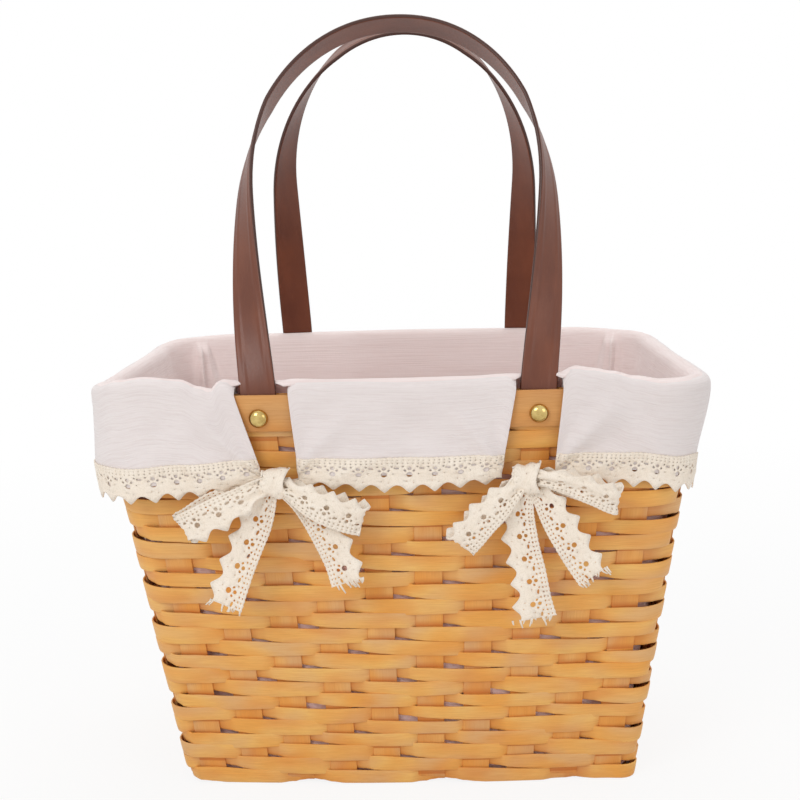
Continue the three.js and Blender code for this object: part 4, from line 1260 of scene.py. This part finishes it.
rightRibbons = {
    "loop_a": [((-1, 2, 0), (-0.3, 0, 1), 0.45), ((-6, 6, -4), (-0.6, 0, 0.8), 0.62),
               ((-14, 8, -10.5), (-0.8, 0, 0.6), 0.92), ((-23, 7.6, -19.5), (-0.86, 0, 0.5), 1),
               ((-30.5, 5.2, -29), (-0.85, 0, 0.52), 1), ((-33.4, 2.6, -32.6), (-0.85, 0, 0.52), 1),
               ((-30, 0.6, -29), (-0.85, 0, 0.5), 1), ((-20, -0.6, -19), (-0.7, 0, 0.6), 0.92),
               ((-9, -1.0, -8), (-0.5, 0, 0.8), 0.7), ((-2, -1.5, -1), (-0.3, 0, 1), 0.45)],
    "loop_b": [((2, 2, 0), (0, 0.2, 1), 0.45), ((10, 6.5, 0.8), (0, 0.3, 1), 0.6),
               ((21, 8.2, -1.5), (0.1, 0.35, 0.95), 0.78), ((33, 7.6, -5.8), (0.15, 0.3, 0.95), 0.84),
               ((43, 4.8, -10.2), (0.2, 0.2, 0.95), 0.86), ((46, 2.4, -11.2), (0.2, 0.1, 0.95), 0.86),
               ((42, 0.6, -9.4), (0.2, 0, 0.95), 0.86), ((29, -0.4, -5), (0.1, 0, 1), 0.85),
               ((14, -0.8, -1.5), (0, 0, 1), 0.7), ((3, -1.5, 0), (0, 0, 1), 0.45)],
    "tail_a": [((-1, 1.4, -2), (-1, 0.2, 0), 0.45), ((-3, 2.4, -10), (-1, 0.15, 0), 0.75),
               ((-4.4, 2.2, -21), (-1, 0, 0), 0.95), ((-2.6, 1.6, -34), (-1, -0.1, -0.05), 0.98),
               ((0.4, 1.6, -48), (-1, 0, -0.1), 1), ((2.2, 2.2, -60), (-1, 0.1, -0.05), 1.05),
               ((3.4, 2.6, -71), (-1, 0.2, 0), 1.25)],
    "tail_b": [((3, 0.5, -2), (1, 0.2, 0.6), 0.4), ((9.5, 1.8, -9), (0.9, 0.15, 0.6), 0.75),
               ((16.5, 2.0, -21), (0.87, 0, 0.5), 0.98), ((22.5, 1.6, -32), (0.86, -0.1, 0.5), 1),
               ((28, 1.6, -41.5), (0.85, 0, 0.5), 1), ((33.2, 2.2, -49.5), (0.84, 0.1, 0.52), 1)],
}
knotRibbon = [((0, -3, 5), (1, 0, 0), 0.7), ((0.6, 2.0, 6.6), (1, 0, 0.2), 0.78),
              ((0.9, 5.4, 3.8), (1, 0.15, 0.2), 0.86), ((0.2, 6.6, -1.0), (1, 0.1, 0.05), 0.8),
              ((-0.8, 4.0, -6.2), (1, 0, -0.2), 0.82), ((0, -3, -6), (1, 0, 0), 0.7)]


def ribbonPath(stops):
    known = [(Vector(centre), Vector(wide).normalized(), draw) for centre, wide, draw in stops]
    samples = []
    for i in range(len(known) - 1):
        around = [known[max(i - 1, 0)], known[i], known[i + 1], known[min(i + 2, len(known) - 1)]]
        for k in range(bow["pathSteps"]):
            share = k / bow["pathSteps"]
            samples.append([catmull(*(item[part] for item in around), share) for part in range(3)])
    samples.append(list(known[-1]))
    lengths = [0.0]
    for a, b in zip(samples, samples[1:]):
        lengths.append(lengths[-1] + (b[0] - a[0]).length)
    return samples, lengths


def ribbonSurface(stops, seed):
    samples, lengths = ribbonPath(stops)

    def surface(s, t):
        i = min(max(bisect_right(lengths, s) - 1, 0), len(lengths) - 2)
        share = min(max((s - lengths[i]) / max(lengths[i + 1] - lengths[i], 1e-6), 0), 1)
        centre, wide, draw = (mixed(a, b, share) for a, b in zip(samples[i], samples[i + 1]))
        run = (samples[i + 1][0] - samples[i][0]).normalized()
        wide = (wide - run * wide.dot(run)).normalized()
        normal = run.cross(wide)
        across = t / lace["width"] - 0.5
        gather = min(max(1 - draw, 0), 0.6)
        crease = bow["crease"] * gather * math.sin(across * 4.6 * math.pi + seed + s * 0.05)
        crease += (0.7 + 1.4 * gather) * noise.noise(Vector((s * 0.09, t * 0.14, seed)))
        crease += 0.35 * noise.noise(Vector((s * 0.3, t * 0.4, seed + 3)))
        return centre + wide * (across * lace["width"] * draw) + normal * crease

    return surface, lengths[-1]


def addThreads(bm, surface, length, seed):  # frayed threads at a cut end
    chance = random.Random(seed)
    uv = bm.loops.layers.uv["along"]
    for _ in range(bow["threads"]):
        t = chance.uniform(0.3, lace["width"] - 0.3)
        root = surface(length - 0.6, t)
        run = (surface(length, t) - surface(length - 2, t)).normalized()
        sway = Vector((chance.uniform(-0.5, 0.5), chance.uniform(-0.35, 0.35), chance.uniform(-0.25, 0.25)))
        reach = chance.uniform(*bow["threadReach"])
        ring = bmesh.ops.create_circle(bm, cap_ends=True, radius=bow["threadRadius"], segments=4)["verts"]
        face = ring[0].link_faces[0]
        turn = run.to_track_quat("Z", "Y").to_matrix()
        for vert in ring:
            vert.co = root + turn @ vert.co
        for k in (0.4, 1.0):
            grown = bmesh.ops.extrude_discrete_faces(bm, faces=[face])["faces"][0]
            target = root + run * reach * k + sway * reach * k * k
            middle = grown.calc_center_median()
            for vert in grown.verts:
                vert.co = target + (vert.co - middle) * (0.75 if k < 1 else 0.35)
            for edge in grown.edges:
                layUv(uv, edge.link_faces, "xz")
            face = grown


def makeBow(label, side, along, ribbons):
    tangent, outward = directions(side)
    out = liner["hemOut"] + 0.45 + bow["knotForward"]
    depth = wallPoint(side, along, wall["height"] - liner["hemBelow"], out).dot(outward)
    knot = place(side, along, depth, wall["height"] - bow["knotBelow"])
    for number, (name, stops) in enumerate([*ribbons.items(), ("knot", knotRibbon)]):
        surface, length = ribbonSurface(stops, number * 1.9 + along * 0.01)
        bm = laceMesh(length, surface, "knot" if name == "knot" else "ribbon")
        if name.startswith("tail"):
            addThreads(bm, surface, length, number + round(along))
        for vert in bm.verts:
            vert.co = toScene(knot + tangent * vert.co.x + outward * vert.co.y + Vector((0, 0, vert.co.z)))
        piece = makePiece(f"bow_{label}_{name}", bm, laceCotton, lace["thickness"])
        area = flatArea(piece)
        flat = (lace["width"] * mm, max(length * mm, area / (lace["width"] * mm)))
    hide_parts(f"bow_{label}")


for label, side, way in strapEnds:
    makeBow(label, side, way * bow["knotPlace"], leftRibbons if way < 0 else rightRibbons)
print("bows ready")
